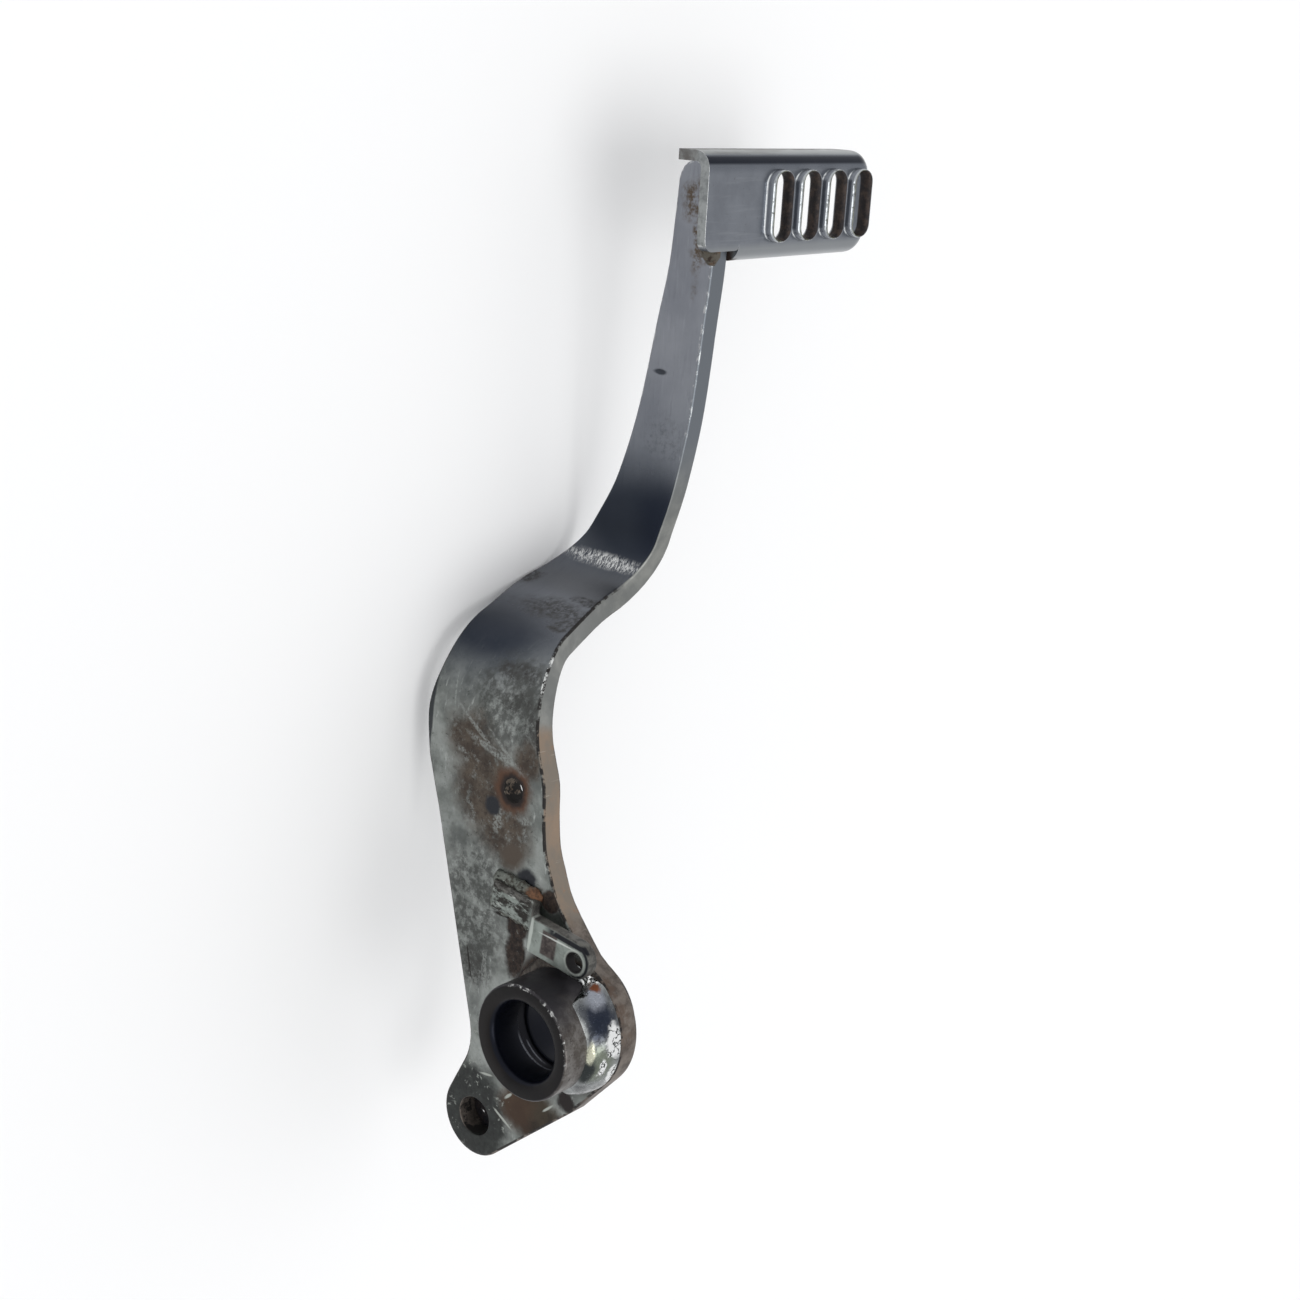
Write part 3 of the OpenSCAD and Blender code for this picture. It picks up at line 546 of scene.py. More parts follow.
# Pivot tube
# Thick turned tube that turns on the frame's spindle, pushed through the arm and welded on both sides. Its
# end edges are broken, the mouth is opened by wear, and a grease groove runs round inside the bore.
bore_r, groove_r, tube_in, tube_out = 9.5, 10.2, 15.3, 9.6
section = [(bore_r, -8.9), (10.1, -9.55), (10.4, -tube_out), (13.3, -tube_out), (13.7, -9.48), (13.93, -9.2)]
section += [(tube_r, y) for y in (-8.9, -6.5, -3, 0, 2.5, 5, 7.5, 10, 12.5, 14.6)]
section += [(13.93, 14.95), (13.7, 15.2), (13.4, tube_in), (11.9, tube_in), (10.9, 15.22), (10.35, 14.95),
            (9.9, 14.5), (9.62, 13.9), (bore_r, 13.2), (bore_r, 9.5), (bore_r, 6.2), (9.62, 6.05),
            (10.15, 6.0), (groove_r, 5.9), (groove_r, 2.9), (10.15, 2.8), (9.62, 2.75), (bore_r, 2.6),
            (bore_r, -2)]
tube = bmesh.new()
spots = [tube.verts.new((r, y, 0)) for r, y in section]
ends = [tube.edges.new((a, b)) for a, b in zip(spots, spots[1:] + spots[:1])]
bmesh.ops.spin(
    tube, geom=spots + ends, cent=(0, 0, 0), axis=(0, 1, 0), dvec=(0, 0, 0), angle=2 * pi, steps=160,
    use_merge=True, use_duplicate=False)
for v in tube.verts:
    r = sqrt(v.co.x ** 2 + v.co.z ** 2)
    turn = atan2(v.co.z, v.co.x)
    nick = max(0.0, grain(Vector((9 * cos(turn), v.co.y * 0.5, 9 * sin(turn)))) - 0.25)
    near_end = max(0.0, 1 - abs(v.co.y - 15.0) / 0.9) if r > 12.5 else 0.0
    k = (r - 0.28 * nick * near_end) / r
    v.co = Vector((v.co.x * k, v.co.y - 0.2 * nick * near_end, v.co.z * k)) * mm

turned = Finish("oily tube steel", (56, 54, 57), 0.4, 0.7)
x, y, z = turned.place("X"), turned.place("Y"), turned.place("Z")
out = turned.calc("SQRT", turned.calc("ADD", turned.both(x, x), turned.both(z, z)))
side = turned.step(out, 0.0134, 0.0139)
turned.coat(turned.cloud(0.4, 0.65, 5, 6, 0.65, seed=4), (43, 42, 46), 0.5, 0.4)
mouth = turned.both(turned.step(out, 0.0137, 0.0134), turned.step(y, 0.0125, 0.0142))
turned.coat(mouth, turned.blend(turned.cloud(0.3, 0.7, 4, 5, 0.6, seed=6), (24, 22, 22), (18, 17, 19)), 0.42,
            0.6)
turned.coat((mouth, turned.zone((-3, 15, -9), (12, 4, 6), 0.7, 0.4, 5)), (24, 21, 21), 0.5, 0.4)
# painted shade: the bore is near black navy
turned.coat(turned.step(out, 0.0106, 0.01), (18, 21, 31), 0.3, 0.6)
# painted highlights: two thin bright arcs in the bore, at the grease groove's edge and inside the groove
near_edge = turned.both(turned.step(y, 0.0062, 0.0064), turned.step(y, 0.0069, 0.0067))
in_groove = turned.both(turned.step(y, 0.0039, 0.0041), turned.step(y, 0.0045, 0.0043))
groove_glints = turned.either(turned.both(near_edge, turned.patch((-8.6, 6.6, -3.4), 6.4, 0.5, 0.3, 3)),
                       turned.both(in_groove, turned.patch((-8.6, 4.2, -4.8), 3.4, 0.5, 0.4, 3)))
turned.coat((groove_glints, turned.cloud(0.36, 0.5, 1.2, 4, 0.7, seed=8)), (112, 115, 122), 0.3)
# painted light: the tube's upward side is painted lighter than the rest, which stays dark as if in shade,
# with darker spots
lit_side = turned.both(side, turned.zone((-1, 8, 16), (13, 10, 12), 0.9, 0.5, 5))
turned.coat(lit_side,
            turned.blend(turned.cloud(0.35, 0.6, 2.2, 6, 0.7, seed=7), (124, 121, 118), (84, 79, 75)), 0.4,
            0.9)
turned.coat((lit_side, turned.cloud(0.58, 0.66, 1.4, 5, 0.7, seed=27)), (52, 46, 44), 0.6, 0.3)
ring_line = turned.both(turned.step(out, 0.0132, 0.0135), turned.step(y, 0.0146, 0.0151))
lit = turned.either(
    turned.zone((7, 15, 11), (8, 4, 8), 0.4, 0.2, 4), turned.zone((13, 15, -1), (3, 4, 4), 0.5, 0.2, 3))
turned.coat((ring_line, lit, turned.cloud(0.5, 0.62, 1.4, 5, 0.75, seed=1)), (205, 206, 204), 0.22, 1.0)
turned.relief(turned.noise(0.8, 5, 0.6, stretch=(1, 0.25, 1)), 0.02)
tube_piece = finished("turned_tube", tube, turned.done())
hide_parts("pivot_tube")


# Tube's welds
# Hand laid beads in the corner between tube and arm, chromed over with the arm. The one on the upper side is
# heavy and climbs the tube in a smooth pool with folds; the rest of the ring is a light rippled bead.
def corner_bead(turns, swell):
    """Ring of weld round the tube; swell(turn) gives its width over the face and its height up the tube."""
    bm = bmesh.new()
    arcs = [(1.0, 0.0)] + [(cos(radians(t)), sin(radians(t))) for t in range(9, 90, 9)]
    arcs += [(0.0, 1.0), (-0.12, 0.5), (-0.12, -0.02)]
    place = bm.verts.layers.float_vector.new("place")
    ring = [bm.verts.new((tube_r + 2 * a, 2 * b, 0)) for a, b in arcs]
    sides = [bm.edges.new((a, b)) for a, b in zip(ring, ring[1:] + ring[:1])]
    for v, (a, b) in zip(ring, arcs):
        v[place] = (a, b, 0)
    bmesh.ops.spin(bm, geom=ring + sides, cent=(0, 0, 0), axis=(0, 1, 0), dvec=(0, 0, 0), angle=-2 * pi,
                   steps=turns, use_merge=True, use_duplicate=False)
    for v in bm.verts:
        turn = atan2(v.co.z, v.co.x)
        a, b, _ = v[place]
        w, h, lump = swell(turn, a, b)
        r = tube_r + w * (0.86 * a + 0.14 * a * (1 - b)) + lump * max(0.0, a)
        rise = h * (0.9 * b + 0.1 * b * (1 - max(a, 0))) + lump * max(0.0, b)
        v.co = Vector((r * cos(turn), rise, r * sin(turn)))
    return bm


def inner_swell(turn, a, b):
    deg = turn * 180 / pi % 360
    u = max(0.0, min(1.0, min(deg - 24, 162 - deg) / 16))
    u = u * u * (3 - 2 * u)
    spot = Vector((cos(turn) * 3.2, b * 1.6 + 7, sin(turn) * 3.2))
    ripple = 0.10 * (1 - u) * sin(deg * 1.15 + 3 * a + 1.5 * grain(spot))
    pool = u * (0.42 * grain(spot * 0.8) + 0.16 * grain(spot * 2.3))
    lump = ripple + pool * (0.4 + 0.6 * b) if a > 0 else 0.0
    return 2.15 + 1.1 * u, 2.1 + 6.2 * u + 0.5 * u * grain(spot * 0.6), lump


def outer_swell(turn, a, b):
    deg = turn * 180 / pi % 360
    spot = Vector((cos(turn) * 3, 20 + b, sin(turn) * 3))
    return 2.0, 2.0, 0.09 * sin(deg * 0.9 + 3 * a) + 0.12 * grain(spot)


bright = Finish("weld chrome", (146, 149, 149), 0.16)
bright.coat(bright.cloud(0.4, 0.66, 3.5, 6, 0.6, seed=11), (98, 100, 101), 0.24)
# painted reflection and highlights on the heavy bead: a navy patch with a lighter spot beside it, a bright
# line along its edge on the tube, and white glare crossed by dark fissures
bright.coat((bright.zone((7.6, 4.4, 13.2), (5.5, 4.2, 5), 1.0, 0.4, 4), 0.95), (36, 42, 56), 0.12)
bright.coat(bright.zone((11.4, 3.4, 10.6), (2.6, 2.6, 2.6), 0.9, 0.4, 2), (150, 154, 163), 0.16)
bright.coat(bright.zone((5.5, 9.4, 13.6), (5.5, 1.3, 4), 0.8, 0.4, 3), (208, 211, 209), 0.18)
bright.coat(bright.zone((-2.5, 5.5, 15), (4.4, 4, 4), 0.9, 0.7, 3), (118, 124, 112), 0.2)
bright.coat(bright.zone((-4, 7.6, 14.6), (3.2, 1.6, 4), 0.8, 0.6, 2.5), (56, 60, 60), 0.2)
bright.coat(bright.zone((0.6, 7.6, 15), (2.6, 0.7, 2.6), 0.8, 0.5, 2), (206, 206, 184), 0.15)
glare = bright.either(
    bright.zone((2.4, 1.7, 16.2), (4.2, 2.4, 3.2), 0.5, 0.6, 2.5),
    bright.zone((13.8, 0.8, 7.3), (2, 2.2, 2), 0.5, 0.6, 2),
    bright.zone((-5.8, 0.8, 15), (3, 1.3, 3), 0.5, 1.0, 1.8),
    bright.zone((-3, 4.4, 15), (2.6, 1, 3), 0.5, 1.0, 2))
fissure = bright.step(
    bright.calc("ABSOLUTE", bright.calc("SUBTRACT", bright.noise(2.2, 3, 0.6, seed=29), 0.5)), 0.034, 0.01)
bright.coat(glare, bright.blend(fissure, (240, 241, 240), (48, 50, 50)), 0.14)
bright.coat(bright.zone((12.6, 2.0, 9.4), (1.8, 1.4, 1.6), 0.5, 0.6, 1.5), (116, 66, 40), 0.7, 0.1)
turn_side = bright.step(
    bright.calc("ADD", bright.place("Z"), bright.both(bright.place("X"), 0.35)), 0.006, 0.0)
bright.coat(turn_side, bright.blend(bright.cloud(0.35, 0.62, 3, 6, 0.7, seed=33), (42, 37, 35), (88, 82, 76)),
            0.6, 0.35)
bright.relief(bright.noise(1.2, 4, 0.6, seed=2), 0.03)
bright.relief(bright.both(fissure, -1.0), 0.06)
weld_finish = bright.done()
bead = corner_bead(240, inner_swell)
for v in bead.verts:
    v.co = v.co * mm
inner_weld = finished("tube_weld_inboard", bead, weld_finish, radians(80))
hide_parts("pivot_weld_inner")
bead = corner_bead(200, outer_swell)
for v in bead.verts:
    v.co = Vector((v.co.x, -arm_t - v.co.y, v.co.z)) * mm
bmesh.ops.reverse_faces(bead, faces=bead.faces[:])
outer_weld = finished("tube_weld_outboard", bead, weld_finish, radians(80))
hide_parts("pivot_weld_outer")


# Tread
# Pressed pan of 2.5 mm sheet, folded down at the front, the outboard end and part of the rear, with four grip
# slots whose rims are drawn up. It is chromed, and boots have worn the rims down to brown metal.
tread_w, half_d, sheet, fold, corner, flange, lip_at = 70.0, 12.8, 2.5, 4.0, 6.4, 9.2, 13.4
slots, slot_1_y, slot_pitch = 4, 28.0, 11.6
pad = bmesh.new()
under = pad.verts.layers.float_vector.new("under")
lean = pad.verts.layers.float_vector.new("lean")
crest = pad.verts.layers.float.new("crest")
foot = pad.verts.layers.float.new("foot")
ridge = pad.verts.layers.float.new("ridge")
wall = pad.verts.layers.float.new("wall")
slot = pad.verts.layers.int.new("slot")
rail = pad.verts.layers.int.new("rail")
flat_x, flat_end = half_d - fold, tread_w - corner
chain = [(flat_x, -y, 1, 0) for y in steps(0, flat_end, 4)]
turn_r = corner - fold
chain += [(half_d - corner + turn_r * cos(radians(t)), -flat_end + turn_r * sin(radians(t)), cos(radians(t)),
           sin(radians(t))) for t in range(-10, -90, -10)]
chain += [(x, -flat_end - turn_r, 0, -1) for x in steps(half_d - corner, corner - half_d, 4)]
chain += [(corner - half_d + turn_r * cos(radians(t)), -flat_end + turn_r * sin(radians(t)), cos(radians(t)),
           sin(radians(t))) for t in range(-100, -180, -10)]
chain += [(-flat_x, y, -1, 0) for y in steps(-flat_end, -lip_at, 4)]
base = [pad.verts.new((x, y, 0)) for x, y, _, _ in chain]
for k, v in enumerate(base):
    v[rail] = k
fold_edges = [pad.edges.new((a, b)) for a, b in zip(base, base[1:])]
rest = [(-9.3, -13.3), (-9.7, -13.0), (-9.95, -12.5), (-10, -12)] + [(-10, y) for y in steps(-9, -3, 3)]
rest += [(-7 - 3 * cos(radians(t)), -3 + 3 * sin(radians(t))) for t in (15, 30, 45, 60, 75, 90)]
rest += [(x, 0) for x in steps(-4, 6, 3)]
others = [pad.verts.new((x, y, 0)) for x, y in rest]
border = fold_edges + [pad.edges.new((a, b)) for a, b in zip([base[-1]] + others, others + [base[0]])]


def at_slot(v, side, end, up):
    """Place a vertex of a slot's ring: side is half the ring's width, end the reach of its round ends."""
    i, c = v[slot] - 1, v[lean]
    if i == 3 and c.y < 0 and side > 3.12:
        side = 3.12 if up < 0.2 else min(side, 3.12 + 0.5 * up)
    v.co = Vector((c.z + c.x * end, c.y * side - slot_1_y - slot_pitch * i, up))


for i in range(slots):
    vs = []
    for sign in (1, -1):
        for k in range(13):
            v = pad.verts.new()
            v[slot], v[lean] = i + 1, (sign * sin(pi * k / 12), -sign * cos(pi * k / 12), sign * 5.25)
            at_slot(v, 5.3, 3.45, 0)
            vs.append(v)
    border += [pad.edges.new((a, b)) for a, b in zip(vs, vs[1:] + vs[:1])]
bmesh.ops.triangle_fill(pad, edges=border, use_beauty=True, normal=(0, 0, 1))
for v in pad.verts:
    v[under] = (v.co.x, v.co.y, -sheet)
inner_fold = fold - sheet
profile = [(fold * sin(radians(t)), fold - fold * cos(radians(t)), inner_fold * sin(radians(t)),
            fold - inner_fold * cos(radians(t))) for t in range(10, 100, 10)]
profile += [(fold, h, inner_fold, h) for h in (5.3, 6.6, 7.9, flange)]
for out, drop, inner_out, inner_drop in profile:
    made = bmesh.ops.extrude_edge_only(pad, edges=fold_edges)["geom"]
    fold_edges = [e for e in made if isinstance(e, bmesh.types.BMEdge)]
    for v in {v for e in fold_edges for v in e.verts}:
        x, y, nx, ny = chain[v[rail]]
        v.co = (x + nx * out, y + ny * out, -drop)
        v[under] = (x + nx * inner_out, y + ny * inner_out, -inner_drop)
copied = bmesh.ops.duplicate(pad, geom=pad.verts[:] + pad.edges[:] + pad.faces[:])["geom"]
for v in copied:
    if isinstance(v, bmesh.types.BMVert):
        v.co = v[under]
rims = [e for e in pad.edges if len(e.link_faces) == 1]
bmesh.ops.bridge_loops(pad, edges=[e for e in rims if not (e.verts[0][slot] and e.verts[1][slot])])
rises = [(5.1, 3.43, 0.25), (4.95, 3.41, 0.65), (4.85, 3.38, 1.1), (4.7, 3.34, 1.5), (4.45, 3.27, 1.78),
         (4.1, 3.18, 1.9), (3.7, 3.08, 1.9), (3.35, 3.0, 1.8), (3.05, 2.9, 1.55), (2.85, 2.8, 1.2),
         (2.75, 2.75, 0.8), (2.75, 2.75, -0.3), (3.1, 2.9, -0.9), (4.1, 3.2, -1.75), (5.0, 3.4, -2.4)]
for i in range(slots):
    mine = [e for e in rims if e.verts[0][slot] == i + 1 == e.verts[1][slot]]
    upper = [e for e in mine if e.verts[0].co.z > -0.5]
    lower = [e for e in mine if e.verts[0].co.z < -0.5]
    for side, end, up in rises:
        made = bmesh.ops.extrude_edge_only(pad, edges=upper)["geom"]
        upper = [e for e in made if isinstance(e, bmesh.types.BMEdge)]
        for v in {v for e in upper for v in e.verts}:
            at_slot(v, side, end, up)
            v[crest] = 1.0 if 2.8 < side < 3.8 and up > 1.0 and v[lean].y > -0.2 else 0.0
            v[ridge] = 1.0 if up > 1.6 and side > 3.6 and v[lean].y > -0.3 else 0.0
            v[wall] = 1.0 if (side < 3.2 and up < 1.4) or (v[lean].y < -0.2 and side < 4.0) else 0.0
            v[foot] = 1.0 if up == 0.25 and v[lean].y > 0.3 else 0.0
    bmesh.ops.bridge_loops(pad, edges=upper + lower)
bmesh.ops.recalc_face_normals(pad, faces=pad.faces[:])
rim_edges = [e for e in pad.edges if len(e.link_faces) == 2 and e.calc_face_angle(0) > radians(70)
             and all(abs(v.co.x) > 9.2 or v.co.y > -20 for v in e.verts)]
roll_edges(pad, rim_edges, 0.45, 3)
tread_x, tread_y = 187.9, (bent(s_end, 0, 0) / mm).y + 6.8
to_place = Matrix.Translation(
    (tread_x * mm, tread_y * mm, (sheet - 16.8) * mm)) @ Matrix.Rotation(radians(4), 4, "Z")
own = pad.verts.layers.float_vector.new("own")
for v in pad.verts:
    v[own] = v.co * mm
    wear = 0.05 * grain(v.co * 0.12) - (0.16 * max(0.0, grain(v.co * 0.5)) if v[crest] > 0.9 else 0.0)
    v.co = to_place @ ((v.co + Vector((0, 0, wear if v.co.z > -1 else 0))) * mm)

pan = Finish("tread chrome", (125, 129, 136), 0.3, chart="own")
x, y, z = pan.place("X"), pan.place("Y"), pan.place("Z")
pan.coat(pan.cloud(0.35, 0.7, 9, 5, 0.6, seed=21), (114, 118, 125), 0.38)
pan.coat((pan.cloud(0.52, 0.75, 1.1, 4, 0.6, (1, 0.06, 1), 12), 0.4), (148, 152, 157), 0.26)
pan.coat((pan.cloud(0.6, 0.68, 1.2, 5, 0.7, seed=15), 0.6), (88, 88, 88), 0.5, 0.5)
# painted reflection: the pan darkens towards the front fold
pan.coat((pan.step(x, 0.0072, 0.0096), 0.55), (84, 89, 98), 0.2)
pan.coat((pan.step(x, -0.008, -0.01), 0.7), (148, 151, 153), 0.28)
# painted reflection: a dark navy band along the front fold
pan.coat((pan.step(x, 0.0094, 0.0102), pan.step(x, 0.012, 0.0112), 0.95), (24, 29, 40), 0.16)
pan.coat(pan.step(x, 0.0116, 0.0123),
         pan.blend(pan.cloud(0.4, 0.6, 5, 5, 0.6, (1, 0.2, 1)), (146, 150, 150), (112, 114, 113)), 0.3)
# painted highlight: the tops of the slot rims are lighter
pan.coat((pan.step(pan.attribute("ridge"), 0.2, 0.8), pan.cloud(0.3, 0.5, 4, 5, 0.7, seed=39)),
         (180, 184, 187), 0.2)
pan.coat((pan.step(pan.attribute("ridge"), 0.2, 0.8), pan.cloud(0.52, 0.62, 1.4, 6, 0.75, seed=81)),
         (96, 99, 97), 0.36)
inner_lip = pan.both(pan.step(pan.attribute("crest"), 0.3, 0.8), pan.cloud(0.3, 0.46, 2.2, 6, 0.7, seed=5))
pan.coat(inner_lip, pan.blend(pan.cloud(0.4, 0.6, 1.3, 5, 0.7), (132, 136, 118), (74, 70, 58)), 0.55, 0.5)
# painted highlight: a bright line along the foot of each rim on its inboard side
pan.coat((pan.step(pan.attribute("foot"), 0.3, 0.8), pan.cloud(0.34, 0.48, 3, 5, 0.7, seed=36)),
         (226, 229, 230), 0.2)
pan.coat((pan.step(pan.attribute("wall"), 0.4, 0.9), 0.95),
         pan.blend(pan.cloud(0.42, 0.62, 2, 5, 0.7), (30, 25, 25), (64, 52, 45)), 0.6, 0.3)
cut_end = pan.step(y, -0.0008, -0.0004)
pan.coat((pan.step(pan.facing("Y"), 0.3, 0.6), cut_end),
         pan.blend(pan.cloud(0.35, 0.6, 3, 5, 0.7, seed=37), (112, 115, 116), (146, 149, 149)), 0.35)
# a bright broken line along the rounded corners of the cut end
bright_corner_line = pan.both(pan.step(pan.facing("Y"), 0.2, 0.45), pan.step(pan.facing("Y"), 0.9, 0.75))
pan.coat((bright_corner_line, cut_end, pan.cloud(0.38, 0.5, 1.6, 5, 0.75, seed=38)), (214, 216, 216), 0.22)
pan.coat((pan.step(z, -0.003, -0.0048), pan.cloud(0.3, 0.6, 5, 5, 0.7, seed=38)), (96, 94, 92), 0.5, 0.6)
pan.coat(pan.patch((-12.4, -12, -4.4), 3.4, 0.6, 0.6, 4), (58, 47, 41), 0.7, 0.15)
pan.relief(pan.noise(1.5, 5, 0.6), 0.015)
pan.relief(pan.both(pan.step(pan.attribute("crest"), 0.3, 0.9), pan.noise(1.0, 5, 0.7)), 0.1)
tread = finished("pressed_tread", pad, pan.done(), radians(60))
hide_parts("tread_pad")


# Tread's weld
# Hand laid bead in the corner under the tread, along the arm's inboard face. Its chrome is thin, so it has
# gone olive and brown, and it bleeds rust over the arm.
def bead_along(path, size, side):
    """Rippled bead laid along a row of places; side(v) holds a vertex on the steel that the bead lies on."""
    bm = bmesh.new()
    made = bmesh.ops.create_circle(bm, cap_ends=False, segments=18, radius=size)["verts"]
    ring = list({e for v in made for e in v.link_edges})
    first = ring
    base = bm.verts.layers.float_vector.new("base")
    for v in bm.verts:
        v[base] = v.co
    rows = [(0, 0.35)] + [(i, 1.0) for i in range(len(path))] + [(len(path) - 1, 0.35)]
    for n, (i, swell) in enumerate(rows):
        ahead = (path[min(i + 1, len(path) - 1)] - path[max(i - 1, 0)]).normalized()
        up = Vector((0, 1, 0))
        across = ahead.cross(up)
        if n:
            out = bmesh.ops.extrude_edge_only(bm, edges=ring)["geom"]
            ring = [e for e in out if isinstance(e, bmesh.types.BMEdge)]
        slip = (-0.8 if n == 0 else 0.8) * size if swell < 1 else 0.0
        for v in {v for e in ring for v in e.verts}:
            r = swell * (1 + 0.12 * sin(i * 1.9) + 0.22 * grain(path[i] * 0.7 + v[base]))
            v.co = path[i] + ahead * slip + (across * v[base].x + up * v[base].y) * r
    for edges in (first, ring):
        bmesh.ops.edgeloop_fill(bm, edges=edges)
    for v in bm.verts:
        side(v)
        v.co = v.co * mm
    return bm


def on_tread_arm(v):
    v.co.y = max(v.co.y, bead_y + (v.co.x - bead_x) * sin(toe_in) + 0.02)
    v.co.z = min(v.co.z, -14.5)


bead_x, bead_y = arm_reach - 21.5, (bent(s_seat, 0, 0) / mm).y
way = Vector((cos(toe_in), sin(toe_in), 0))
bead = bead_along(
    [Vector((bead_x, bead_y, -16.8)) + way * (13 * k / 12) for k in range(13)], 2.7, on_tread_arm)
crust = Finish("rusty weld", (92, 88, 80), 0.6, 0.5)
crust.coat(crust.cloud(0.5, 0.66, 2.4, 6, 0.7, seed=3), (96, 74, 58), 0.8, 0.15)
crust.coat(crust.cloud(0.5, 0.62, 1.4, 5, 0.7, seed=13), (50, 40, 34), 0.75, 0.2)
crust.coat(crust.cloud(0.62, 0.7, 1.9, 5, 0.7, seed=23), (140, 134, 110), 0.5, 0.5)
crust.relief(crust.noise(0.9, 6, 0.7), 0.15)
rust_finish = crust.done()
tread_bead = finished("tread_weld", bead, rust_finish, radians(80))
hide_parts("tread_weld")


# Spring tab
# Small strip of 2.8 mm sheet, one end lying on the arm and the other joggled clear of it, with the hole for
# the spring of the brake light switch. It is tacked on at its edges.
tab_x, tab_z, tab_t, lift, high_z, low_z, foot_z = 20.4, 6.2, 2.8, 3.4, -14.2, -18.0, -30.6
tab_lean = radians(5)
strip = bmesh.new()
own = strip.verts.layers.float_vector.new("own")
shape = arc((0, 0), 4.5, 0, 180, 9) + [(-4.5, z) for z in steps(-1.6, high_z, 1.6)]
shape += [tuple(Vector((-4.5, high_z)).lerp(Vector((-1.1, low_z)), u)) for u in (0.25, 0.5, 0.75, 1)]
shape += [(-1.1, z) for z in steps(low_z - 1.6, foot_z, 1.6)] + [(x, foot_z) for x in (1.3, 3.7)]
shape += [(6.1, z) for z in steps(foot_z, low_z, 1.6)]
shape += [tuple(Vector((6.1, low_z)).lerp(Vector((4.5, high_z)), u)) for u in (0.25, 0.5, 0.75, 1)]
shape += [(4.5, z) for z in steps(high_z + 1.6, -1.6, 1.6)]
cut_plate(strip, [loop(strip, shape), loop(strip, arc((-0.6, 0), 2.25, 0, 360, 15)[:-1])], tab_t)
roll_edges(strip, [e for e in strip.edges if len(e.link_faces) == 2 and e.calc_face_angle(0) > 0.3
                   and abs(e.verts[0].co.y - e.verts[1].co.y) < 1e-4], 0.35, 3)
cut_across(strip, steps(foot_z + 0.5, 4, 0.8), 2)
bmesh.ops.subdivide_edges(
    strip,
    edges=[e for e in strip.edges if e.calc_length() > 2.4 and abs(e.verts[0].co.z - e.verts[1].co.z) < 0.01],
    cuts=2, use_grid_fill=True)


def on_strip(x, y, z):
    """Place in space of a point of the strip's own frame, with its tip's centre at 0."""
    return Vector((tab_x + x * cos(tab_lean) - z * sin(tab_lean), y,
                   tab_z + x * sin(tab_lean) + z * cos(tab_lean)))


for v in strip.verts:
    u = max(0.0, min(1.0, (v.co.z - low_z) / (high_z - low_z)))
    rough = 0.10 * grain(v.co * 0.5) if v.co.y > -0.1 else 0.0
    v[own] = v.co * mm
    v.co = on_strip(v.co.x, v.co.y + lift * (1 - cos(pi * u)) / 2 + tab_t + rough, v.co.z) * mm
plain = Finish("tab steel", (142, 149, 144), 0.42, chart="own")
x, z = plain.place("X"), plain.place("Z")
plain.coat(plain.cloud(0.42, 0.66, 4, 6, 0.65, seed=3), (118, 124, 119), 0.5)
plain.coat((plain.cloud(0.58, 0.68, 1.3, 5, 0.7, (1, 1, 0.35), 6), 0.7), (70, 70, 66), 0.6, 0.4)
square = plain.both(
    plain.step(x, -0.0034, -0.0028), plain.step(x, 0.0034, 0.0028), plain.step(z, -0.0108, -0.0102),
    plain.step(z, -0.0056, -0.0063))
plain.coat((square, plain.cloud(0.28, 0.4, 2, 6, 0.7, seed=12)),
           plain.blend(plain.cloud(0.4, 0.6, 2, 5, 0.7), (58, 52, 51), (88, 81, 78)), 0.55, 0.4)
tip = plain.calc("SQRT", plain.calc("ADD", plain.both(x, x), plain.both(z, z)))
d = plain.place("Y")
# painted shade: darker along the tab's +x side and round the edge of its tip
wall_side = plain.step(x, 0.0040, 0.0044)
plain.coat(
    plain.either(wall_side, plain.both(plain.step(tip, 0.004, 0.0044), plain.step(z, -0.0005, 0.0005))),
    plain.blend(plain.cloud(0.4, 0.6, 2, 5, 0.7, seed=17), (70, 69, 67), (104, 103, 99)), 0.45, 0.7)
# painted shade: near black under the tab along its +x side and round its tip
rim_side = plain.both(
    plain.either(plain.both(plain.step(x, 0.0026, 0.0031), plain.step(x, 0.0044, 0.004),
                            plain.step(z, -0.0105, -0.0075)),
                 plain.both(plain.step(tip, 0.0031, 0.0036), plain.step(tip, 0.0044, 0.004),
                            plain.step(z, -0.0015, 0.0005))), plain.step(d, -0.0012, -0.0006))
plain.coat((rim_side, plain.cloud(0.25, 0.42, 3, 5, 0.6, seed=18)), (26, 27, 32), 0.3, 0.6)
plain.coat((plain.scratch((1.9, -11), (2.4, 0.5), 0.22, 0.3), 0.8), (196, 200, 196), 0.3)
plain.coat(plain.zone((-0.6, 0, 0), (3.1, 4, 3.1), 0.25, 0.2, 2), (164, 170, 164), 0.35)
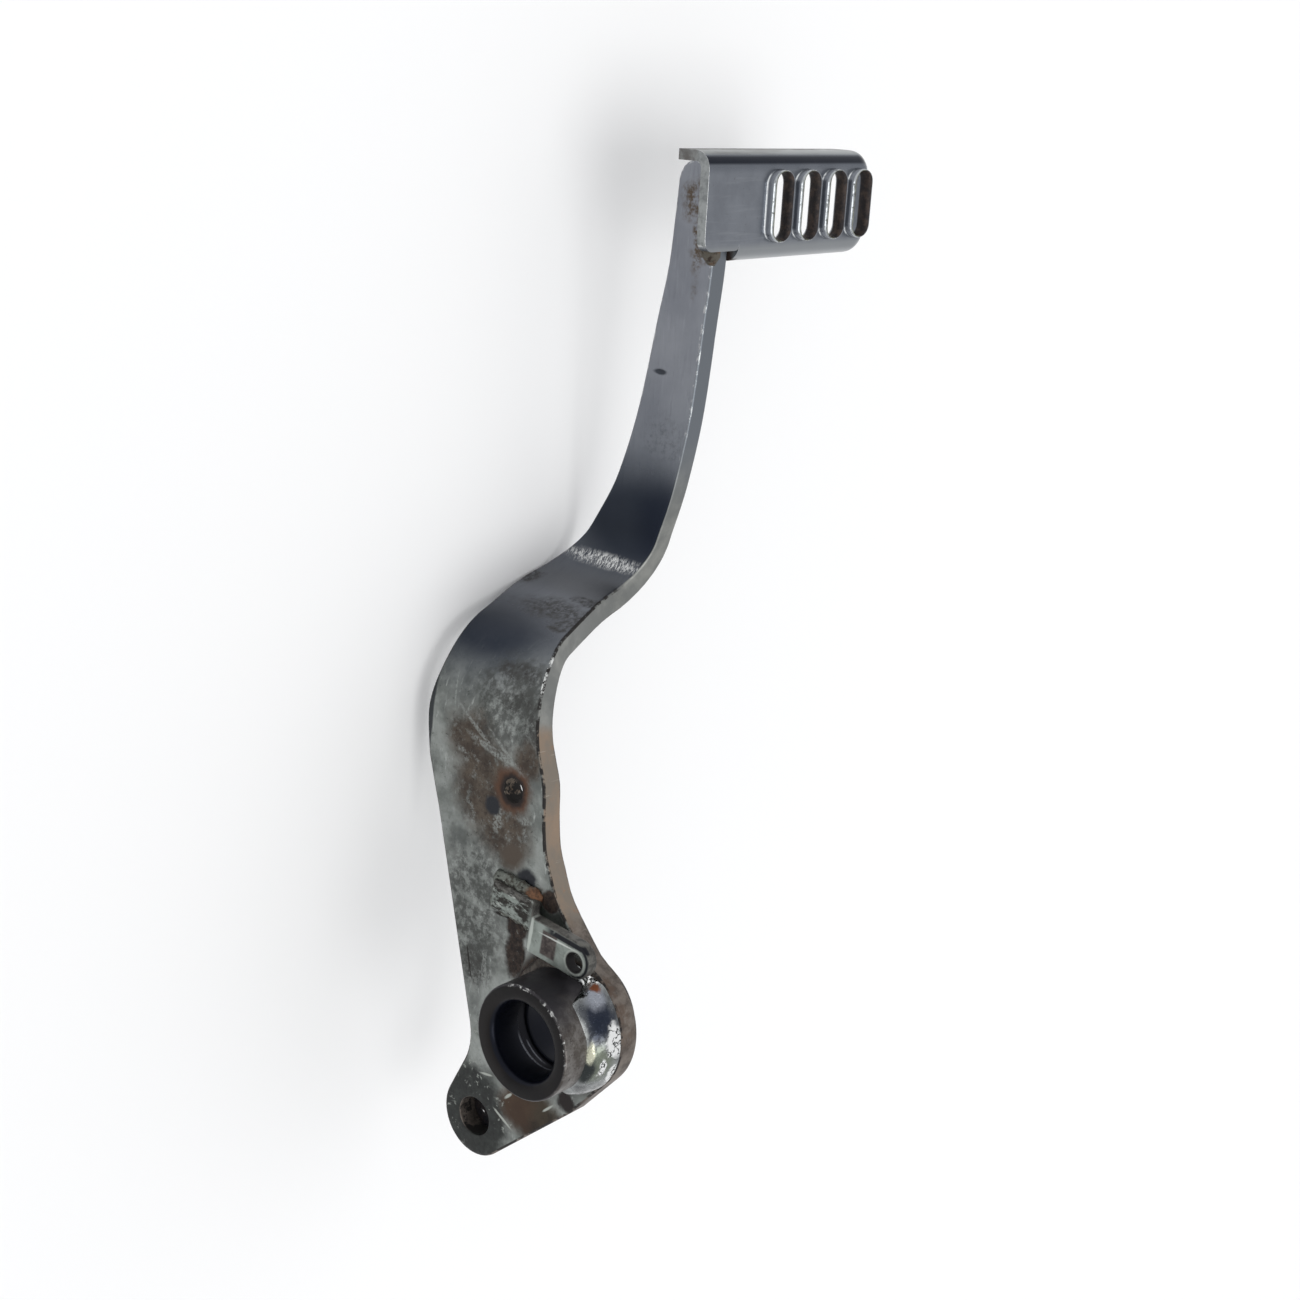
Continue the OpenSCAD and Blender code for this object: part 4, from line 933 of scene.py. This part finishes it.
# painted shade: the wall of the spring hole is near black
plain.coat(plain.zone((-0.6, -1.4, 0), (2.7, 9, 2.7), 0.2, 0.0), (22, 20, 22), 0.6, 0.2)
plain.coat((plain.scratch((-5, -14.3), (5, -14.0), 0.6, 0.3), 0.8), (186, 192, 186), 0.3)
plain.coat((plain.step(z, -0.0165, -0.019), plain.cloud(0.47, 0.56, 2.2, 7, 0.75, (1, 1, 0.35), 8)),
           (50, 48, 45), 0.7, 0.4)
plain.coat((plain.step(z, -0.0165, -0.019), plain.cloud(0.56, 0.64, 1.6, 6, 0.7, (1, 1, 0.3), 28)),
           (176, 181, 176), 0.35)
plain.relief(plain.noise(1.2, 5, 0.6), 0.04)
plain.relief(plain.both(plain.step(z, -0.0165, -0.0190), plain.noise(1.6, 6, 0.7, (1, 1, 0.35), 8)), 0.25)
tab = finished("joggled_tab", strip, plain.done())
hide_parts("spring_tab")


# Tab's weld
# One rough bead round the tab's foot, along both long edges and across its end. It was hardly chromed: it is
# grey over the arm's face and rusty at its open upper end.
def on_foot(v):
    v.co.y = max(v.co.y, 0.02)


turns = [
    (-1.1, low_z - 0.6 - 12.0 * k / 10) for k in range(10)] + [(-1.1 + 0.9 * k, foot_z) for k in range(9)]
turns += [(6.1, foot_z + 12.0 * k / 10) for k in range(1, 11)]
bead = bead_along([on_strip(x, 0, z) for x, z in turns], 1.9, on_foot)
ragged = Finish("ragged weld", (116, 120, 114), 0.45)
ragged.coat(ragged.cloud(0.45, 0.58, 2.2, 6, 0.7, seed=3), (70, 68, 62), 0.6, 0.5)
ragged.coat(ragged.cloud(0.56, 0.64, 1.3, 5, 0.7, seed=9), (34, 31, 29), 0.6, 0.3)
ragged.coat(ragged.cloud(0.6, 0.67, 1.5, 5, 0.7, seed=19), (172, 178, 172), 0.3)
ragged.coat(ragged.zone((28, 1, -11), (3.4, 4, 3.4), 0.6, 0.5, 3),
            ragged.blend(ragged.cloud(0.42, 0.6, 1.6, 5, 0.7), (118, 86, 64), (78, 57, 45)), 0.75, 0.15)
ragged.relief(ragged.noise(1.0, 6, 0.7), 0.2)
tab_bead = finished("tab_weld", bead, ragged.done(), radians(80))
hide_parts("tab_weld")


# Dark skin in the lug
# Thin dark skin that closes the lug's hole near its outboard end, split along one
# short line, so that the hole looks dark. It is no part of the pedal.
skin = bmesh.new()
split = Vector((-38.1, -29.9)), Vector((-40.1, -27.2))
lengthwise = (split[1] - split[0]).normalized()
crosswise = Vector((-lengthwise.y, lengthwise.x)) * 0.3
middle = (split[0] + split[1]) / 2
gap = [tuple(split[0]), tuple(middle + crosswise), tuple(split[1]), tuple(middle - crosswise)]
cut_plate(skin, [loop(skin, arc(lug_c, 4.97, 0, 360, 7.5)[:-1], -5.2), loop(skin, gap, -5.2)], 0.35)
for v in skin.verts:
    v.co = (v.co + Vector((0, 0.12 * grain(v.co * 0.8), 0))) * mm
dark_skin = Finish("dark hole skin", (38, 32, 32), 0.45, 0.0)
dark_skin.coat(dark_skin.cloud(0.4, 0.62, 3, 6, 0.7), (24, 26, 31), 0.3)
dark_skin.coat(dark_skin.cloud(0.56, 0.66, 2, 6, 0.7, seed=7), (58, 46, 40), 0.6)
dark_skin.relief(dark_skin.noise(1.5, 6, 0.7), 0.2)
finished("lug_dark_skin", skin, dark_skin.done())


# Studio
# A plain pale floor under the pedal's lowest edge, soft light from above and the inboard side, and the
# photograph's own viewpoint.
low = cad_box[0][2]
ground = bmesh.new()
bmesh.ops.create_grid(ground, x_segments=1, y_segments=1, size=4.0)
bmesh.ops.translate(ground, verts=ground.verts[:], vec=(0.09, -0.03, low - 0.0005))
floor_mesh = bpy.data.meshes.new("floor")
ground.to_mesh(floor_mesh)
ground.free()
floor = bpy.data.objects.new("floor", floor_mesh)
bpy.context.scene.collection.objects.link(floor)
paper = bpy.data.materials.new("pale paper")
paper.use_nodes = True
paper.node_tree.nodes["Principled BSDF"].inputs["Base Color"].default_value = (0.945, 0.945, 0.945, 1)
paper.node_tree.nodes["Principled BSDF"].inputs["Roughness"].default_value = 0.9
floor.data.materials.append(paper)

sky = bpy.data.worlds.new("studio")
sky.use_nodes = True
sky.node_tree.nodes["Background"].inputs["Color"].default_value = (0.985, 0.99, 1.0, 1)
sky.node_tree.nodes["Background"].inputs["Strength"].default_value = 0.85
bpy.context.scene.world = sky
sun = bpy.data.lights.new("key", "SUN")
sun.energy = 0.75
sun.angle = radians(40)
key = bpy.data.objects.new("key", sun)
key.rotation_euler = Vector((0.25, -0.15, -1.0)).to_track_quat("-Z", "Y").to_euler()
bpy.context.scene.collection.objects.link(key)

eye = bpy.data.cameras.new("photo view")
eye.sensor_width = 36.0
eye.sensor_fit = "HORIZONTAL"
eye.lens = 1685.73 / 1300 * 36.0
eye.clip_start, eye.clip_end = 0.01, 20.0
camera = bpy.data.objects.new("photo view", eye)
right, down = Vector((0.0968633, -0.6316920, 0.7691441)), Vector((-0.9577509, 0.1510965, 0.2447101))
ahead = Vector((-0.2707964, -0.7603519, -0.5903679))
turn = Matrix((right, -down, -ahead)).transposed().to_4x4()
camera.matrix_world = Matrix.Translation((0.19442, 0.27750, 0.22956)) @ turn
bpy.context.scene.collection.objects.link(camera)
bpy.context.scene.camera = camera

view = bpy.context.scene.view_settings
view.view_transform = "Standard"
